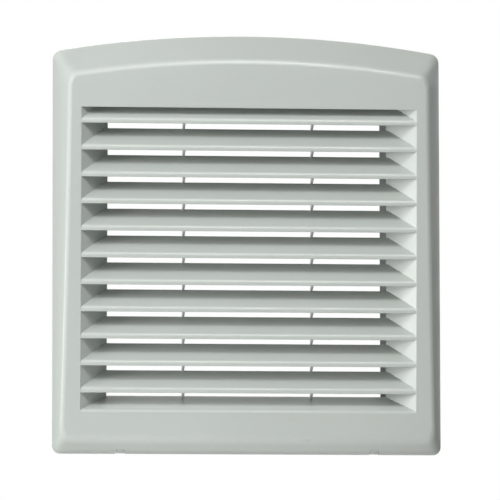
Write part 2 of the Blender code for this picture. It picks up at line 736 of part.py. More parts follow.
def make_base(parts, cutters, material):
    outline = arched_outline(FLANGE_SIDE_INSET, FLANGE_TOP_INSET, FLANGE_BOTTOM_INSET,
                             TOP_CORNER_RADIUS, FLANGE_CORNER_RADIUS)
    base = prism("base_frame", outline, FLANGE_FRONT, FLANGE_BACK, parts)
    wall = rounded_rectangle(SPIGOT_HALF, -SPIGOT_HALF, SPIGOT_HALF, SPIGOT_CORNER_RADIUS)
    spigot = prism("spigot", wall, (FLANGE_FRONT + FLANGE_BACK) / 2, SPIGOT_DEPTH, cutters)
    combine(base, "UNION", [spigot])
    hollow = rounded_rectangle(SPIGOT_INNER, -SPIGOT_INNER, SPIGOT_INNER,
                               SPIGOT_CORNER_RADIUS - SPIGOT_WALL / 2)
    half_height = SPIGOT_INNER - REAR_LIP_TOP
    opening = rounded_rectangle(SPIGOT_INNER - REAR_LIP_SIDE, -half_height, half_height,
                                SPIGOT_CORNER_RADIUS)
    combine(base, "DIFFERENCE", [
        prism("spigot_hollow", hollow, FLANGE_FRONT - 3.0, SPIGOT_DEPTH - REAR_LIP_THICKNESS, cutters),
        prism("rear_opening", opening, SPIGOT_DEPTH - 10.0, SPIGOT_DEPTH + 3.0, cutters)])
    freeze(base)
    added = []
    for normal in ((-1, 0), (1, 0), (0, 1), (0, -1)):
        for side in (-1, 1):
            added.append(guide_rib(normal, side * (SPIGOT_HALF - GUIDE_RIB_MARGIN), cutters))
    for side in (-1, 1):
        added += hinge_lug(side, cutters)
        x = side * LATCH_SPACING / 2
        added.append(box("latch_catch",
                         (x - LATCH_WIDTH / 2, FLANGE_FRONT - CATCH_LENGTH, CATCH_HEIGHT),
                         (x + LATCH_WIDTH / 2, FLANGE_BACK - FLANGE_THICKNESS / 2,
                          CATCH_HEIGHT + CATCH_THICKNESS), cutters))
    combine(base, "UNION", added)
    cuts = []
    for place, x, z in screw_places():
        hole = SCREW_RADIUS + FIT_GAP
        mouth = SCREW_HEAD_RADIUS + FIT_GAP
        cuts.append(cylinder("screw_hole", hole, (x, FLANGE_FRONT - 2, z), (x, 4.0, z), cutters))
        deep = SCREW_HEAD_HEIGHT
        step = (mouth - hole) / deep
        cuts.append(cylinder("countersink", mouth + step, (x, FLANGE_FRONT - 1.0, z),
                             (x, FLANGE_FRONT + deep, z), cutters, radius_end=hole))
    for place, normal, along in clip_places():
        cuts.append(clip_window(normal, along, cutters))
    combine(base, "DIFFERENCE", cuts)
    finish(base, material)
    return base


def guide_rib(normal, along, collection):
    """A thin rib that centres the base frame in the panel cut-out."""
    height = SPIGOT_CLEARANCE - GUIDE_RIB_CLEARANCE
    rib = box("guide_rib", (-SPIGOT_WALL / 2, FLANGE_BACK - FLANGE_THICKNESS / 2, -GUIDE_RIB_WIDTH / 2),
              (height, GUIDE_RIB_LENGTH, GUIDE_RIB_WIDTH / 2), collection)
    rib.matrix_world = wall_matrix(normal, along)
    return rib


def clip_window(normal, along, collection):
    """The window in the wall of the base frame that a clip hooks through."""
    half = CLIP_WINDOW_WIDTH / 2
    window = box("clip_window", (-SPIGOT_WALL - 3.0, CLIP_WINDOW_FRONT, -half),
                 (3.0, CLIP_WINDOW_REAR, half), collection)
    window.matrix_world = wall_matrix(normal, along)
    return window


def hinge_lug(side, collection):
    """The lug below the flange with the trunnion that the cover turns on."""
    span = hinge_span(side)
    axis = (HINGE_AXIS_Y, HINGE_AXIS_HEIGHT)
    low, high = sorted(span["lug"])
    flange_edge = FLANGE_BOTTOM_INSET - COVER_BOTTOM
    neck = box("lug_neck", (low, HINGE_AXIS_Y - 0.6, HINGE_AXIS_HEIGHT),
               (high, FLANGE_BACK - 0.4, flange_edge + 2.0), collection)
    eye = cylinder("lug_eye", LUG_RADIUS, (low, *axis), (high, *axis), collection)
    trim_to_cover(eye, collection)
    a, b = span["trunnion"]
    pin = cylinder("trunnion", TRUNNION_RADIUS, (a, *axis), (b, *axis), collection)
    return [neck, eye, pin]


def make_gasket(parts, cutters, material):
    inner = CUTOUT / 2 + GASKET_INNER_CLEARANCE
    outer = inner + GASKET_WIDTH
    ring = rounded_rectangle(outer, -inner - GASKET_BOTTOM_WIDTH, outer, GASKET_CORNER_RADIUS)
    gasket = prism("panel_gasket", ring, GASKET_FRONT, 0.0, parts)
    hole = rounded_rectangle(inner, -inner, inner, GASKET_CORNER_RADIUS - 1.0)
    cuts = [prism("gasket_hole", hole, GASKET_FRONT - 2, 2.0, cutters)]
    for place, x, z in screw_places():
        cuts.append(cylinder("gasket_screw_hole", SCREW_RADIUS + 2 * FIT_GAP,
                             (x, GASKET_FRONT - 2, z), (x, 2.0, z), cutters))
    combine(gasket, "DIFFERENCE", cuts)
    finish(gasket, material)
    return gasket


def place_empty(name, location, collection):
    empty = bpy.data.objects.new(name, None)
    empty.location = [value * MM for value in location]
    empty.empty_display_size = 0.01
    collection.objects.link(empty)
    return empty


def screw_mesh(cutters):
    """Countersunk machine screw along +Y, with the flat of its head at the origin."""
    tip = 0.5
    shank = turned("screw_pattern", [
        (0.0, 0.0), (SCREW_HEAD_RADIUS, 0.0), (SCREW_RADIUS, SCREW_HEAD_HEIGHT),
        (SCREW_RADIUS, SCREW_LENGTH - tip), (SCREW_RADIUS - tip, SCREW_LENGTH),
        (0.0, SCREW_LENGTH)], cutters)
    half, width = RECESS_LENGTH / 2, RECESS_WIDTH / 2
    combine(shank, "DIFFERENCE", [
        box("recess_across", (-half, -1.0, -width), (half, RECESS_DEPTH, width), cutters),
        box("recess_upright", (-width, -1.0, -half), (width, RECESS_DEPTH * 0.98, half), cutters)])
    freeze(shank)
    shank.hide_render = True
    shank.display_type = "WIRE"
    return shank.data


def ring_mesh(name, outer, inner, thickness, steps, cutters):
    """A flat ring along +Y that starts at the origin."""
    ring = cylinder(name, outer, (0, 0, 0), (0, thickness, 0), cutters, steps=steps)
    bore = cylinder(name + "_bore", inner, (0, -1, 0), (0, thickness + 1, 0), cutters)
    combine(ring, "DIFFERENCE", [bore])
    freeze(ring)
    ring.hide_render = True
    ring.display_type = "WIRE"
    return ring.data


def clip_mesh(cutters):
    """A bent strip of spring steel, in a frame with the wall's outer face at X = 0."""
    bend = FIT_GAP + CLIP_THICKNESS / 2
    inner = -SPIGOT_WALL - bend
    outer = bend
    rear = CLIP_WINDOW_REAR + CLIP_HAIRPIN - 1.0
    path = [(inner, CLIP_WINDOW_REAR + CLIP_LEG)]
    path += arc((-SPIGOT_WALL, CLIP_WINDOW_REAR), bend, 180, 270, 2)
    path += arc((0.0, CLIP_WINDOW_REAR), bend, 270, 360, 2)
    path.append((outer, rear))
    path += [(outer + 1.0 + math.cos(math.radians(a)), rear + math.sin(math.radians(a)))
             for a in (135, 90, 45)]
    path += [(outer + 2.1, rear - 0.6), (CLIP_TIP_REACH, CLIP_TIP_START),
             (CLIP_TIP_REACH - 0.5, CLIP_TIP_START - 1.1), (CLIP_TIP_REACH - 1.6, CLIP_TIP_END)]
    bm = bmesh.new()
    half = CLIP_WIDTH / 2
    rows = [[bm.verts.new((x, y, z)) for z in (-half, half)] for x, y in path]
    for a, b in zip(rows, rows[1:]):
        bm.faces.new((a[0], a[1], b[1], b[0]))
    strip = object_from_bmesh("clip_pattern", bm, cutters)
    solid = strip.modifiers.new("thickness", "SOLIDIFY")
    solid.thickness = CLIP_THICKNESS * MM
    solid.offset = 0.0
    solid.use_even_offset = True
    freeze(strip)
    strip.hide_render = True
    strip.display_type = "WIRE"
    return strip.data


def place_copy(name, mesh, parent, collection, material):
    obj = bpy.data.objects.new(name, mesh)
    obj.parent = parent
    collection.objects.link(obj)
    finish(obj, material)
    return obj


def make_fasteners(parts, cutters, steel):
    screw = screw_mesh(cutters)
    bore = SCREW_RADIUS + FIT_GAP
    washer = ring_mesh("washer_pattern", WASHER_RADIUS, bore, WASHER_THICKNESS, ROUND_STEPS, cutters)
    nut = ring_mesh("nut_pattern", NUT_FLATS / math.sqrt(3), bore, NUT_HEIGHT, 6, cutters)
    washer_y = PANEL_THICKNESS + FIT_GAP
    nut_y = washer_y + WASHER_THICKNESS + FIT_GAP
    for place, x, z in screw_places():
        axis = place_empty(f"screw_axis_{place}", (x, 0, z), parts)
        for name, mesh, y in (("fixing_screw", screw, FLANGE_FRONT + 0.1),
                              ("washer", washer, washer_y), ("nut", nut, nut_y)):
            obj = place_copy(f"{name}_{place}", mesh, axis, parts, steel)
            obj.location = (0, y * MM, 0)


def make_clips(parts, cutters, steel):
    mesh = clip_mesh(cutters)
    for place, normal, along in clip_places():
        seat = place_empty(f"clip_seat_{place}", (0, 0, 0), parts)
        seat.matrix_world = wall_matrix(normal, along)
        place_copy(f"panel_clip_{place}", mesh, seat, parts, steel)


def main():
    for obj in list(bpy.data.objects):
        bpy.data.objects.remove(obj, do_unlink=True)
    parts = new_collection("ventilation_grille")
    cutters = new_collection("cutters")
    plastic = make_material("grey_plastic", (0.565, 0.60, 0.56), 0.38)
    inner_plastic = make_material("base_plastic", (0.50, 0.535, 0.50), 0.48)
    foam = make_material("gasket_foam", (0.03, 0.03, 0.032), 0.9)
    zinc = make_material("zinc_steel", (0.62, 0.62, 0.60), 0.35, 1.0)
    spring = make_material("spring_steel", (0.42, 0.43, 0.44), 0.3, 1.0)

    make_base(parts, cutters, inner_plastic)
    make_gasket(parts, cutters, foam)
    make_fasteners(parts, cutters, zinc)
    make_clips(parts, cutters, spring)
    hinge = place_empty("cover_hinge_axis", (0, HINGE_AXIS_Y, HINGE_AXIS_HEIGHT), parts)
    cover = make_cover(parts, cutters, plastic)
    cover.parent = hinge
    cover.matrix_parent_inverse = Matrix.Translation(hinge.location).inverted()
    for obj in cutters.objects:
        obj.hide_render = True
        obj.display_type = "WIRE"


main()
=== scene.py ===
"""Visual model of a panel ventilation grille with a hinged louvre cover.

Sizes are in metres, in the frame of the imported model: the origin is the centre of the square
panel cut-out on the panel's outer face, X points right, Z up, and the louvres face -Y.
"""

import itertools
import math

import bmesh
import bpy
import numpy as np
from bpy.props import FloatProperty, FloatVectorProperty, IntProperty, PointerProperty
from mathutils import Matrix, Vector


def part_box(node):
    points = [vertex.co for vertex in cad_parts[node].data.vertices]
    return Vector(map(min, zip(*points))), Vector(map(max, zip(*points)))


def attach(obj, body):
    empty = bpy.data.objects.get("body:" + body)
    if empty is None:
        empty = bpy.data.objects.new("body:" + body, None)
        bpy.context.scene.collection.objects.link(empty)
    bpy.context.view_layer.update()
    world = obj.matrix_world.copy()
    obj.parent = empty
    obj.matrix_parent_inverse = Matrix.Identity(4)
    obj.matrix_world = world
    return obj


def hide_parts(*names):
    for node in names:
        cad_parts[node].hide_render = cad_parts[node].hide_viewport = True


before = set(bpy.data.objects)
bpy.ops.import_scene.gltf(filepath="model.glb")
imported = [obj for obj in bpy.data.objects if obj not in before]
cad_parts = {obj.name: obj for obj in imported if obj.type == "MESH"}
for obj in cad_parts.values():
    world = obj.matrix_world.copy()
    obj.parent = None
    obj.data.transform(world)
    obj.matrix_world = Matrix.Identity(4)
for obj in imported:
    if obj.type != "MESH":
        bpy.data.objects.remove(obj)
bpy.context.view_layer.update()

bl_info = {
    "name": "Ventilation grille",
    "version": (1, 0, 0),
    "blender": (4, 5, 0),
    "location": "View3D > Sidebar > Grille",
    "description": "Builds a panel ventilation grille round its packed frame",
    "category": "Add Mesh",
}

MM = 0.001
FLAT_LIP = 0.9 * MM  # depth of a blade's flat lip, where its underside starts
COVER_LOW, COVER_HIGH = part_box("front_cover")
CORNERS = ("top_left", "top_right", "bottom_left", "bottom_right")
# Outward direction of each wall of the spigot in X and Z, and the names of its two clips
CLIP_WALLS = {
    "left": ((-1, 0), ("lower", "upper")),
    "right": ((1, 0), ("lower", "upper")),
    "top": ((0, 1), ("left", "right")),
    "bottom": ((0, -1), ("left", "right")),
}
# Name, azimuth, elevation, distance and width of each lamp, and the setting with its power
LAMPS = (
    ("key_lamp", 9.5, 45.0, 1.4, 0.3, "key_power"),
    ("top_lamp", -18.0, 47.0, 1.4, 1.2, "top_power"),
    ("front_left_lamp", -45.0, 22.0, 1.4, 0.8, "left_power"),
    ("side_lamp", -72.0, -1.0, 1.4, 0.3, "side_power"),
    ("low_front_lamp", -50.0, -15.0, 1.4, 0.7, "front_power"),
    ("low_lamp", -22.0, -48.0, 0.55, 0.3, "low_power"),
    ("floor_lamp", 0.0, -72.0, 0.42, 0.3, "floor_power"),
    ("back_lamp", -168.0, 38.0, 1.4, 0.9, "back_power"),
)
WHITE = (1.0, 1.0, 1.0, 1.0)


def length(name, description, millimetres):
    """A length property, with its default given in millimetres."""
    return FloatProperty(name=name, description=description, default=millimetres * MM,
                         min=0.0, unit="LENGTH", precision=5)


def height(name, description, millimetres):
    """A place along an axis, with its default given in millimetres."""
    return FloatProperty(name=name, description=description, default=millimetres * MM,
                         unit="LENGTH", precision=5)


def fillets(place, rim, ridge):
    """Two fillet radii, at the rim and at the ridge, with defaults in millimetres."""
    return FloatVectorProperty(name=f"{place.capitalize()} fillets", size=2, unit="LENGTH",
                               description=f"Fillets at the rim and the ridge of the {place}",
                               default=(rim * MM, ridge * MM))


def share(name, description, default):
    """A share between 0 and 1."""
    return FloatProperty(name=name, description=description, default=default,
                         min=0.0, max=1.0, subtype="FACTOR")


def number(name, description, default, **more):
    """A number that has no unit of length."""
    return FloatProperty(name=name, description=description, default=default, **more)


def point(name, description, default):
    """A point in metres."""
    return FloatVectorProperty(name=name, description=description, default=default,
                               size=3, unit="LENGTH")


def colour(name, description, default):
    """A colour in linear values."""
    return FloatVectorProperty(name=name, description=description, default=default,
                               min=0.0, max=1.0, size=3, subtype="COLOR")


class GrilleCover(bpy.types.PropertyGroup):
    half_width: length("Half width", "Half the width of the cover", COVER_HIGH.x / MM)
    bottom: length("Bottom edge", "Distance of the bottom edge below the centre",
                   -COVER_LOW.z / MM)
    apex: length("Apex", "Height of the arched top over the centre", COVER_HIGH.z / MM)
    arch_radius: length("Arch radius", "Radius of the arched top edge", 704.0)
    top_corner: length("Top corner", "Radius of the outline's top corners", 6.0)
    bottom_corner: length("Bottom corner", "Radius of the outline's bottom corners", 5.0)
    wall: length("Wall", "Thickness of the moulding's wall", 2.2)
    standoff: length("Stand-off", "Gap between the rim and the panel", 1.0)
    depth_top: length("Depth at the top", "Distance of the face from the panel at the top",
                      -COVER_LOW.y / MM)
    depth_bottom: length("Depth at the bottom", "Distance of the face from the panel at the bottom",
                         11.8)
    bevel_top: length("Side bevel, top", "Width of the side bevels at the top", 9.7)
    bevel_bottom: length("Side bevel, bottom", "Width of the side bevels at the bottom", 5.4)
    top_bevel: length("Top bevel", "Width of the bevel along the arched top", 18.3)
    bottom_roll: length("Bottom roll", "Height of the rolled bottom edge", 8.5)
    ridge_top_corner: length("Top ridge corner", "Radius of the face's top corners", 8.0)
    ridge_bottom_corner: length("Bottom ridge corner", "Radius of the face's bottom corners", 7.0)
    rim_side: length("Side rim", "Height of the straight rim at the sides", 2.5)
    rim_top: length("Top rim", "Height of the straight rim at the top", 3.2)
    rim_bottom: length("Bottom rim", "Height of the straight rim at the bottom", 5.0)
    side_fillets: fillets("sides", 2.0, 2.8)
    top_fillets: fillets("top", 3.5, 8.0)
    bottom_fillets: fillets("bottom", 6.5, 12.0)
    bulge: share("Side bulge", "Rise of the side bevels over their width", 0.08)
    edge: length("Edge rounding", "Rounding of the moulding's fine edges", 0.3)


class GrilleLouvres(bpy.types.PropertyGroup):
    field_half: length("Half field", "Half the width of the louvre field at the face", 107.0)
    field_top: height("Field top", "Height of the field's top edge at the face", 94.9)
    first_lip: height("First lip", "Height of the first blade's lip", 84.9)
    sill_lip: height("Sill", "Height at which one more blade would follow the last", -103.09)
    count: IntProperty(name="Blades", description="Number of louvre blades", default=11, min=1)
    depth: length("Depth", "Depth of the blades behind the face", 14.0)
    rise: length("Rise", "Height of a blade's back over its lip", 15.9)
    line_start: length("Slope start", "Height at which a blade's slope would meet the face", 3.0)
    nose: length("Nose", "Radius of a blade's nose", 4.0)
    back: length("Back", "Thickness of a blade at its back", 2.6)
    lip_rounding: length("Lip rounding", "Rounding of a blade's lower edge", 0.35)
    taper: number("Taper", "Narrowing of the field at each side with depth", 1.2, min=0.0)
    top_rise: length("Top rise", "Rise of the duct's top face over the blades' depth", 10.6)
    sill_rise: length("Sill rise", "Height of the sill's slope over its lip at the face", 6.19)
    sill_nose: length("Sill nose", "Radius of the sill's nose", 3.0)
    duct_depth: length("Duct depth", "Depth of the duct's wall behind the face", 15.0)
    web_spacing: length("Web spacing", "Distance between the two rows of webs", 82.0)
    web: length("Web", "Thickness of the webs between the blades", 1.5)
    web_width: length("Web width", "Width of a web along the blades' depth", 5.5)


class GrilleFittings(bpy.types.PropertyGroup):
    hinge_axis: length("Hinge axis height", "Height of the hinge axis over the bottom edge", 2.4)
    hinge_depth: length("Hinge axis depth", "Distance of the hinge axis from the panel", 4.0)
    hinge_spacing: length("Hinge spacing", "Distance between the inner ends of the knuckles", 140.0)
    knuckle_length: length("Knuckle length", "Length of a knuckle", 8.0)
    knuckle_radius: length("Knuckle radius", "Radius of a knuckle", 2.3)
    knuckle_bore: length("Knuckle bore", "Radius of a knuckle's bore", 1.5)
    notch_start: length("Notch start", "Distance of a notch's inner end from the centre", 78.02)
    notch_end: length("Notch end", "Distance of a notch's outer end from the centre", 83.8)
    notch_reach: length("Notch reach", "Half the height of a notch about the hinge axis", 2.9)
    latch_spacing: length("Latch spacing", "Distance between the two latches", 120.0)
    latch_width: length("Latch width", "Width of a tongue", 14.0)
    tongue_height: height("Tongue height", "Height of a tongue's lower face", 120.4)
    tongue: length("Tongue thickness", "Thickness of a tongue", 1.8)
    tongue_end: length("Tongue end", "Distance of a tongue's tip from the panel", 7.2)
    thread_pitch: length("Thread pitch", "Pitch of the fixing screws", 0.7)
    thread_depth: length("Thread depth", "Depth of the screws' thread", 0.36)
    recess: length("Recess", "Length of the cross recess", 3.8)
    recess_width: length("Recess width", "Width of the cross recess", 0.9)
    spigot_half: length("Half spigot", "Half the width of the base frame's spigot", 110.0)
    clip_spacing: length("Clip spacing", "Distance between the clips on one wall", 120.0)
    clip_width: length("Clip width", "Width of a spring clip", 14.0)
    clip_strip: length("Clip strip", "Thickness of a clip's steel strip", 0.6)
    base_edge: length("Base edges", "Rounding of the base frame's edges", 0.25)
    gasket_edge: length("Gasket edges", "Rounding of the gasket's edges", 0.4)


class GrilleFinishes(bpy.types.PropertyGroup):
    cover_colour: colour("Cover", "Colour of the cover's plastic", (0.520, 0.556, 0.525))
    base_colour: colour("Base frame", "Colour of the base frame's plastic", (0.520, 0.556, 0.522))
    gasket_colour: colour("Gasket", "Colour of the foam", (0.030, 0.030, 0.032))
    zinc_colour: colour("Zinc", "Colour of the zinc plated fasteners", (0.62, 0.62, 0.60))
    spring_colour: colour("Spring steel", "Colour of the clips", (0.42, 0.43, 0.44))
    cover_roughness: share("Cover roughness", "Middle roughness of the cover", 0.38)
    base_roughness: share("Base roughness", "Middle roughness of the base frame", 0.48)


class GrilleStage(bpy.types.PropertyGroup):
    camera_place: point("Camera place", "Where the camera stands", (-0.336, -3.570, -0.374))
    camera_aim: point("Camera aim", "Point that the camera looks at", (0.0, 0.0, 0.010))
    camera_roll: number("Camera roll", "Turn of the camera about its view", -0.0019,
                        subtype="ANGLE")
    focal: number("Focal length", "Focal length of the camera", 0.4068, unit="CAMERA")
    shift_x: number("Shift right", "Shift of the camera's frame to the right", 0.0074, precision=4)
    shift_y: number("Shift up", "Shift of the camera's frame upwards", -0.0098, precision=4)
    key_power: number("Key light", "Watts of the small lamp above", 6.0, min=0.0)
    top_power: number("Top light", "Watts of the soft box above", 6.6, min=0.0)
    left_power: number("Front left light", "Watts of the high lamp at the left", 6.3, min=0.0)
    side_power: number("Side light", "Watts of the lamp at the far left", 7.0, min=0.0)
    front_power: number("Low front light", "Watts of the low lamp at the left", 2.6, min=0.0)
    low_power: number("Low light", "Watts of the lamp below", 0.52, min=0.0)
    floor_power: number("Floor light", "Watts of the lamp under the object", 0.3, min=0.0)
    back_power: number("Back light", "Watts of the lamp behind", 7.0, min=0.0)
    room: share("Room light", "Strength of the light from all round", 0.004)
    floor_height: height("Floor", "Height of the floor", -460.0)


def settings(name):
    """The sizes or colours of one group."""
    return getattr(bpy.context.scene, "grille_" + name)


# ---- numpy shapes ----

def arc(centre, radius, start, end, steps):
    """Points centre + radius (cos a, sin a), with a running from start to end."""
    a = np.linspace(start, end, steps + 1)
    return np.stack([centre[0] + radius * np.cos(a), centre[1] + radius * np.sin(a)], -1)


def resampled(points, shares):
    """Points at the given shares of the length of a line through the points."""
    steps = np.linalg.norm(np.diff(points, axis=0), axis=1)
    along = np.concatenate(([0.0], np.cumsum(steps)))
    wanted = shares * along[-1]
    return np.stack([np.interp(wanted, along, points[:, k]) for k in (0, 1)], -1)


def rounded(before, corner, after, radius, steps=4):
    """Rows of points that round each corner off.

    The curve is (1-s)^2 p + 2 s (1-s) corner + s^2 q. The ends p and q lie on the two sides
    at radius times the tangent of half the turn, at most 0.45 of the way to a neighbour.
    """
    a, b = before - corner, after - corner
    la = np.linalg.norm(a, axis=-1, keepdims=True)
    lb = np.linalg.norm(b, axis=-1, keepdims=True)
    a, b = a / la, b / lb
    turn = np.arccos(np.clip(-(a * b).sum(-1, keepdims=True), -1.0, 1.0))
    reach = np.minimum(radius * np.tan(turn / 2), 0.45 * np.minimum(la, lb))
    reach = np.maximum(reach, 1e-6)
    p, q = (corner + a * reach)[..., None, :], (corner + b * reach)[..., None, :]
    s = np.linspace(0.0, 1.0, steps)[:, None]
    return (1 - s) ** 2 * p + 2 * s * (1 - s) * corner[..., None, :] + s ** 2 * q


def inset(outline, distance):
    """Closed counter-clockwise outline moved inwards: corner + distance times its mitre."""
    ahead = np.roll(outline, -1, 0) - outline
    ahead = ahead / np.linalg.norm(ahead, axis=1, keepdims=True)
    normal = np.stack([-ahead[:, 1], ahead[:, 0]], -1)
    other = np.roll(normal, 1, 0)
    mitre = (normal + other) / (1 + (normal * other).sum(1, keepdims=True))
    return outline + mitre * distance


def plate(outline, start, end, rounding, steps=4):
    """Closed shell of an outline in Y and Z, drawn along X, with rounded edges.

    The ring at angle a lies rounding (1 - sin a) inside the outline and
    rounding (1 - cos a) from the plate's end.
    """
    x, y = outline[:, 0], outline[:, 1]
    if (x * np.roll(y, -1) - y * np.roll(x, -1)).sum() < 0:
        outline = outline[::-1]
    a = np.linspace(0.0, math.pi / 2, steps)
    inward = rounding * (1 - np.sin(a))
    inward = np.concatenate((inward, inward[::-1]))
    along = rounding * (1 - np.cos(a))
    along = np.concatenate((start + along, end - along[::-1]))
    rings = outline + (inset(outline, 1.0) - outline) * inward[:, None, None]
    depth = np.broadcast_to(along[:, None, None], rings.shape[:2] + (1,))
    return shell(np.concatenate((depth, rings), -1))


def pair(outline, spacing, width, rounding):
    """Two plates of an outline, with their middles the spacing apart."""
    return [plate(outline, x - width / 2, x + width / 2, rounding)
            for x in (-spacing / 2, spacing / 2)]


def shell(grid, wrap_rows=False):
    """Vertices and faces of a grid whose rows are closed rings.

    The quads join ring i to ring i + 1 and point j to point j + 1. Open ends get one face
    each. The order of the faces is turned where the enclosed volume comes out negative.
    """
    rows, columns = grid.shape[:2]
    i = np.arange(rows if wrap_rows else rows - 1)[:, None]
    j = np.arange(columns)[None, :]
    k = (i + 1) % rows
    m = (j + 1) % columns
    quads = np.stack(np.broadcast_arrays(i * columns + j, k * columns + j,
                                         k * columns + m, i * columns + m), -1).reshape(-1, 4)
    points = grid.reshape(-1, 3)
    faces = quads.tolist()
    if not wrap_rows:
        faces.append(list(range(columns)))
        faces.append(list(range((rows - 1) * columns, rows * columns))[::-1])
    centre = points.mean(0)
    a, b, c, d = (points[quads[:, n]] - centre for n in range(4))
    volume = (a * np.cross(b, c)).sum() + (a * np.cross(c, d)).sum()
    if volume < 0:
        faces = [face[::-1] for face in faces]
    return points, faces


def turned(centre, y, r, angle):
    """Rings about an axis along Y: (x + r cos a, y, z + r sin a), a row for each depth y."""
    return np.stack([centre.x + r * np.cos(angle), y[:, None] + 0 * r,
                     centre.z + r * np.sin(angle)], -1)


def joined(pieces):
    """One list of vertices and faces from several."""
    points, faces, start = [], [], 0
    for some, theirs in pieces:
        points.append(some)
        faces += [[n + start for n in face] for face in theirs]
        start += len(some)
    return np.concatenate(points), faces


def linked(name, data):
    """New object of the scene with the given data."""
    obj = bpy.data.objects.new(name, data)
    bpy.context.scene.collection.objects.link(obj)
    return obj


def new_mesh(name, points, faces):
    """New mesh from arrays of points and lists of faces."""
    mesh = bpy.data.meshes.new(name)
    mesh.from_pydata(points.tolist(), [], faces)
    return mesh


def smooth_faces(mesh, angle=32.0):
    """Smooth shading, with sharp edges where faces meet at more than the angle."""
    mesh.shade_smooth()
    mesh.set_sharp_from_angle(angle=math.radians(angle))


def make_piece(name, body, slot, points, faces, wear=None, replaces=(), angle=32.0):
    """New object from a mesh, riding on its body, with its finish and its wear."""
    mesh = new_mesh(name, points, faces)
    if wear is not None:
        layer = mesh.attributes.new("edge", "FLOAT", "POINT")
        layer.data.foreach_set("value", np.ascontiguousarray(wear, dtype=np.float32).ravel())
    mesh.materials.append(finish_material(slot))
    mesh.validate()
    smooth_faces(mesh, angle)
    obj = linked(name, mesh)
    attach(obj, body)
    if replaces:
        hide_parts(*replaces)
    return obj


def cutter(name, points, faces):
    """Object that a Boolean cuts with, until cut() removes it."""
    return linked(name, new_mesh(name, points, faces))


def cut(obj, cutters):
    """Cuts an object with others, keeps the result as its mesh and removes the others."""
    for tool in cutters:
        modifier = obj.modifiers.new(tool.name, "BOOLEAN")
        modifier.operation = "DIFFERENCE"
        modifier.solver = "EXACT"
        modifier.object = tool
    graph = bpy.context.evaluated_depsgraph_get()
    mesh = bpy.data.meshes.new_from_object(obj.evaluated_get(graph))
    obj.modifiers.clear()
    obj.data = mesh
    smooth_faces(mesh)
    for tool in cutters:
        bpy.data.objects.remove(tool, do_unlink=True)


# ---- Form of the cover ----

class CoverForm:
    """Curves that follow from the sizes of the cover and its louvres."""

    def __init__(self):
        c, lv = settings("cover"), settings("louvres")
        self.cover, self.louvres = c, lv
        self.arch_centre = c.apex - c.arch_radius
        self.ridge_top = self.arch_centre + math.sqrt(
            (c.arch_radius - c.top_bevel) ** 2 - (c.half_width - c.bevel_top) ** 2)
        self.ridge_bottom = c.bottom_roll - c.bottom
        self.step = (lv.first_lip - lv.sill_lip) / lv.count
        self.sill_slope = (lv.rise - lv.sill_rise) / lv.depth

    def fall(self, z):
        """(s + s^2) / 2, where s runs from 0 at the top ridge to 1 at the bottom one.

        It leaves 0 in a small smooth bend: s becomes (s + sqrt(s^2 + 0.0004)) / 2.
        """
        s = (self.ridge_top - z) / (self.ridge_top - self.ridge_bottom)
        s = (s + np.sqrt(s * s + 0.0004)) / 2
        return 0.5 * s + 0.5 * s * s

    def face_depth(self, z):
        """Distance of the face from the panel: the top's, less its difference times the fall."""
        c = self.cover
        return c.depth_top - (c.depth_top - c.depth_bottom) * self.fall(z)

    def face_slope(self, z):
        """Slope of the face's depth, as a central difference."""
        step = 0.1 * MM
        return (self.face_depth(z + step) - self.face_depth(z - step)) / (2 * step)

    def side_bevel(self, z):
        """Width of a side bevel: the top's, less its difference times the fall."""
        c = self.cover
        return c.bevel_top - (c.bevel_top - c.bevel_bottom) * self.fall(z)

    def arch(self, x, inward=0.0):
        """Height of the arched top edge, or of a line inside it."""
        return self.arch_centre + np.sqrt((self.cover.arch_radius - inward) ** 2 - x * x)

    def top_corner(self, half, inward, radius, steps):
        """Arc between a vertical side and the arched top, tangent to both."""
        inner = half - radius
        arch = self.cover.arch_radius - inward
        centre_z = self.arch_centre + math.sqrt((arch - radius) ** 2 - inner ** 2)
        return arc((inner, centre_z), radius, 0.0,
                   math.atan2(centre_z - self.arch_centre, inner), steps)

    def field_half(self, depth):
        """Half the width of the field, which the taper narrows in a straight line."""
        return self.louvres.field_half - self.louvres.taper * depth

    def nose_height(self, depth, line_start, slope, radius):
        """Height of a sloping face with a rounded nose.

        It is the nose's circle, centre + sqrt(r^2 - (r - depth)^2), up to where the line
        line_start + slope depth touches it, and the line from there on.
        """
        turn = math.pi / 2 - math.atan(slope)
        centre = line_start - radius * math.tan(turn / 2)
        near = np.sqrt(np.maximum(radius ** 2 - (radius - depth) ** 2, 0.0)) + centre
        return np.where(depth < radius * (1 - math.cos(turn)), near, line_start + slope * depth)

    def nose_depths(self, slope, radius, steps):
        """Depths at equal angles round a nose."""
        turn = math.pi / 2 - math.atan(slope)
        return radius * (1 - np.cos(np.linspace(0.0, turn, steps + 1)))

    def sill(self, depth):
        """Height of the sill: a nose and a straight slope behind it."""
        lv = self.louvres
        return self.nose_height(depth, lv.sill_lip + lv.sill_rise, self.sill_slope, lv.sill_nose)

    def lips(self):
        """Heights of the blades' lips, in equal steps downwards."""
        return self.louvres.first_lip - self.step * np.arange(self.louvres.count)


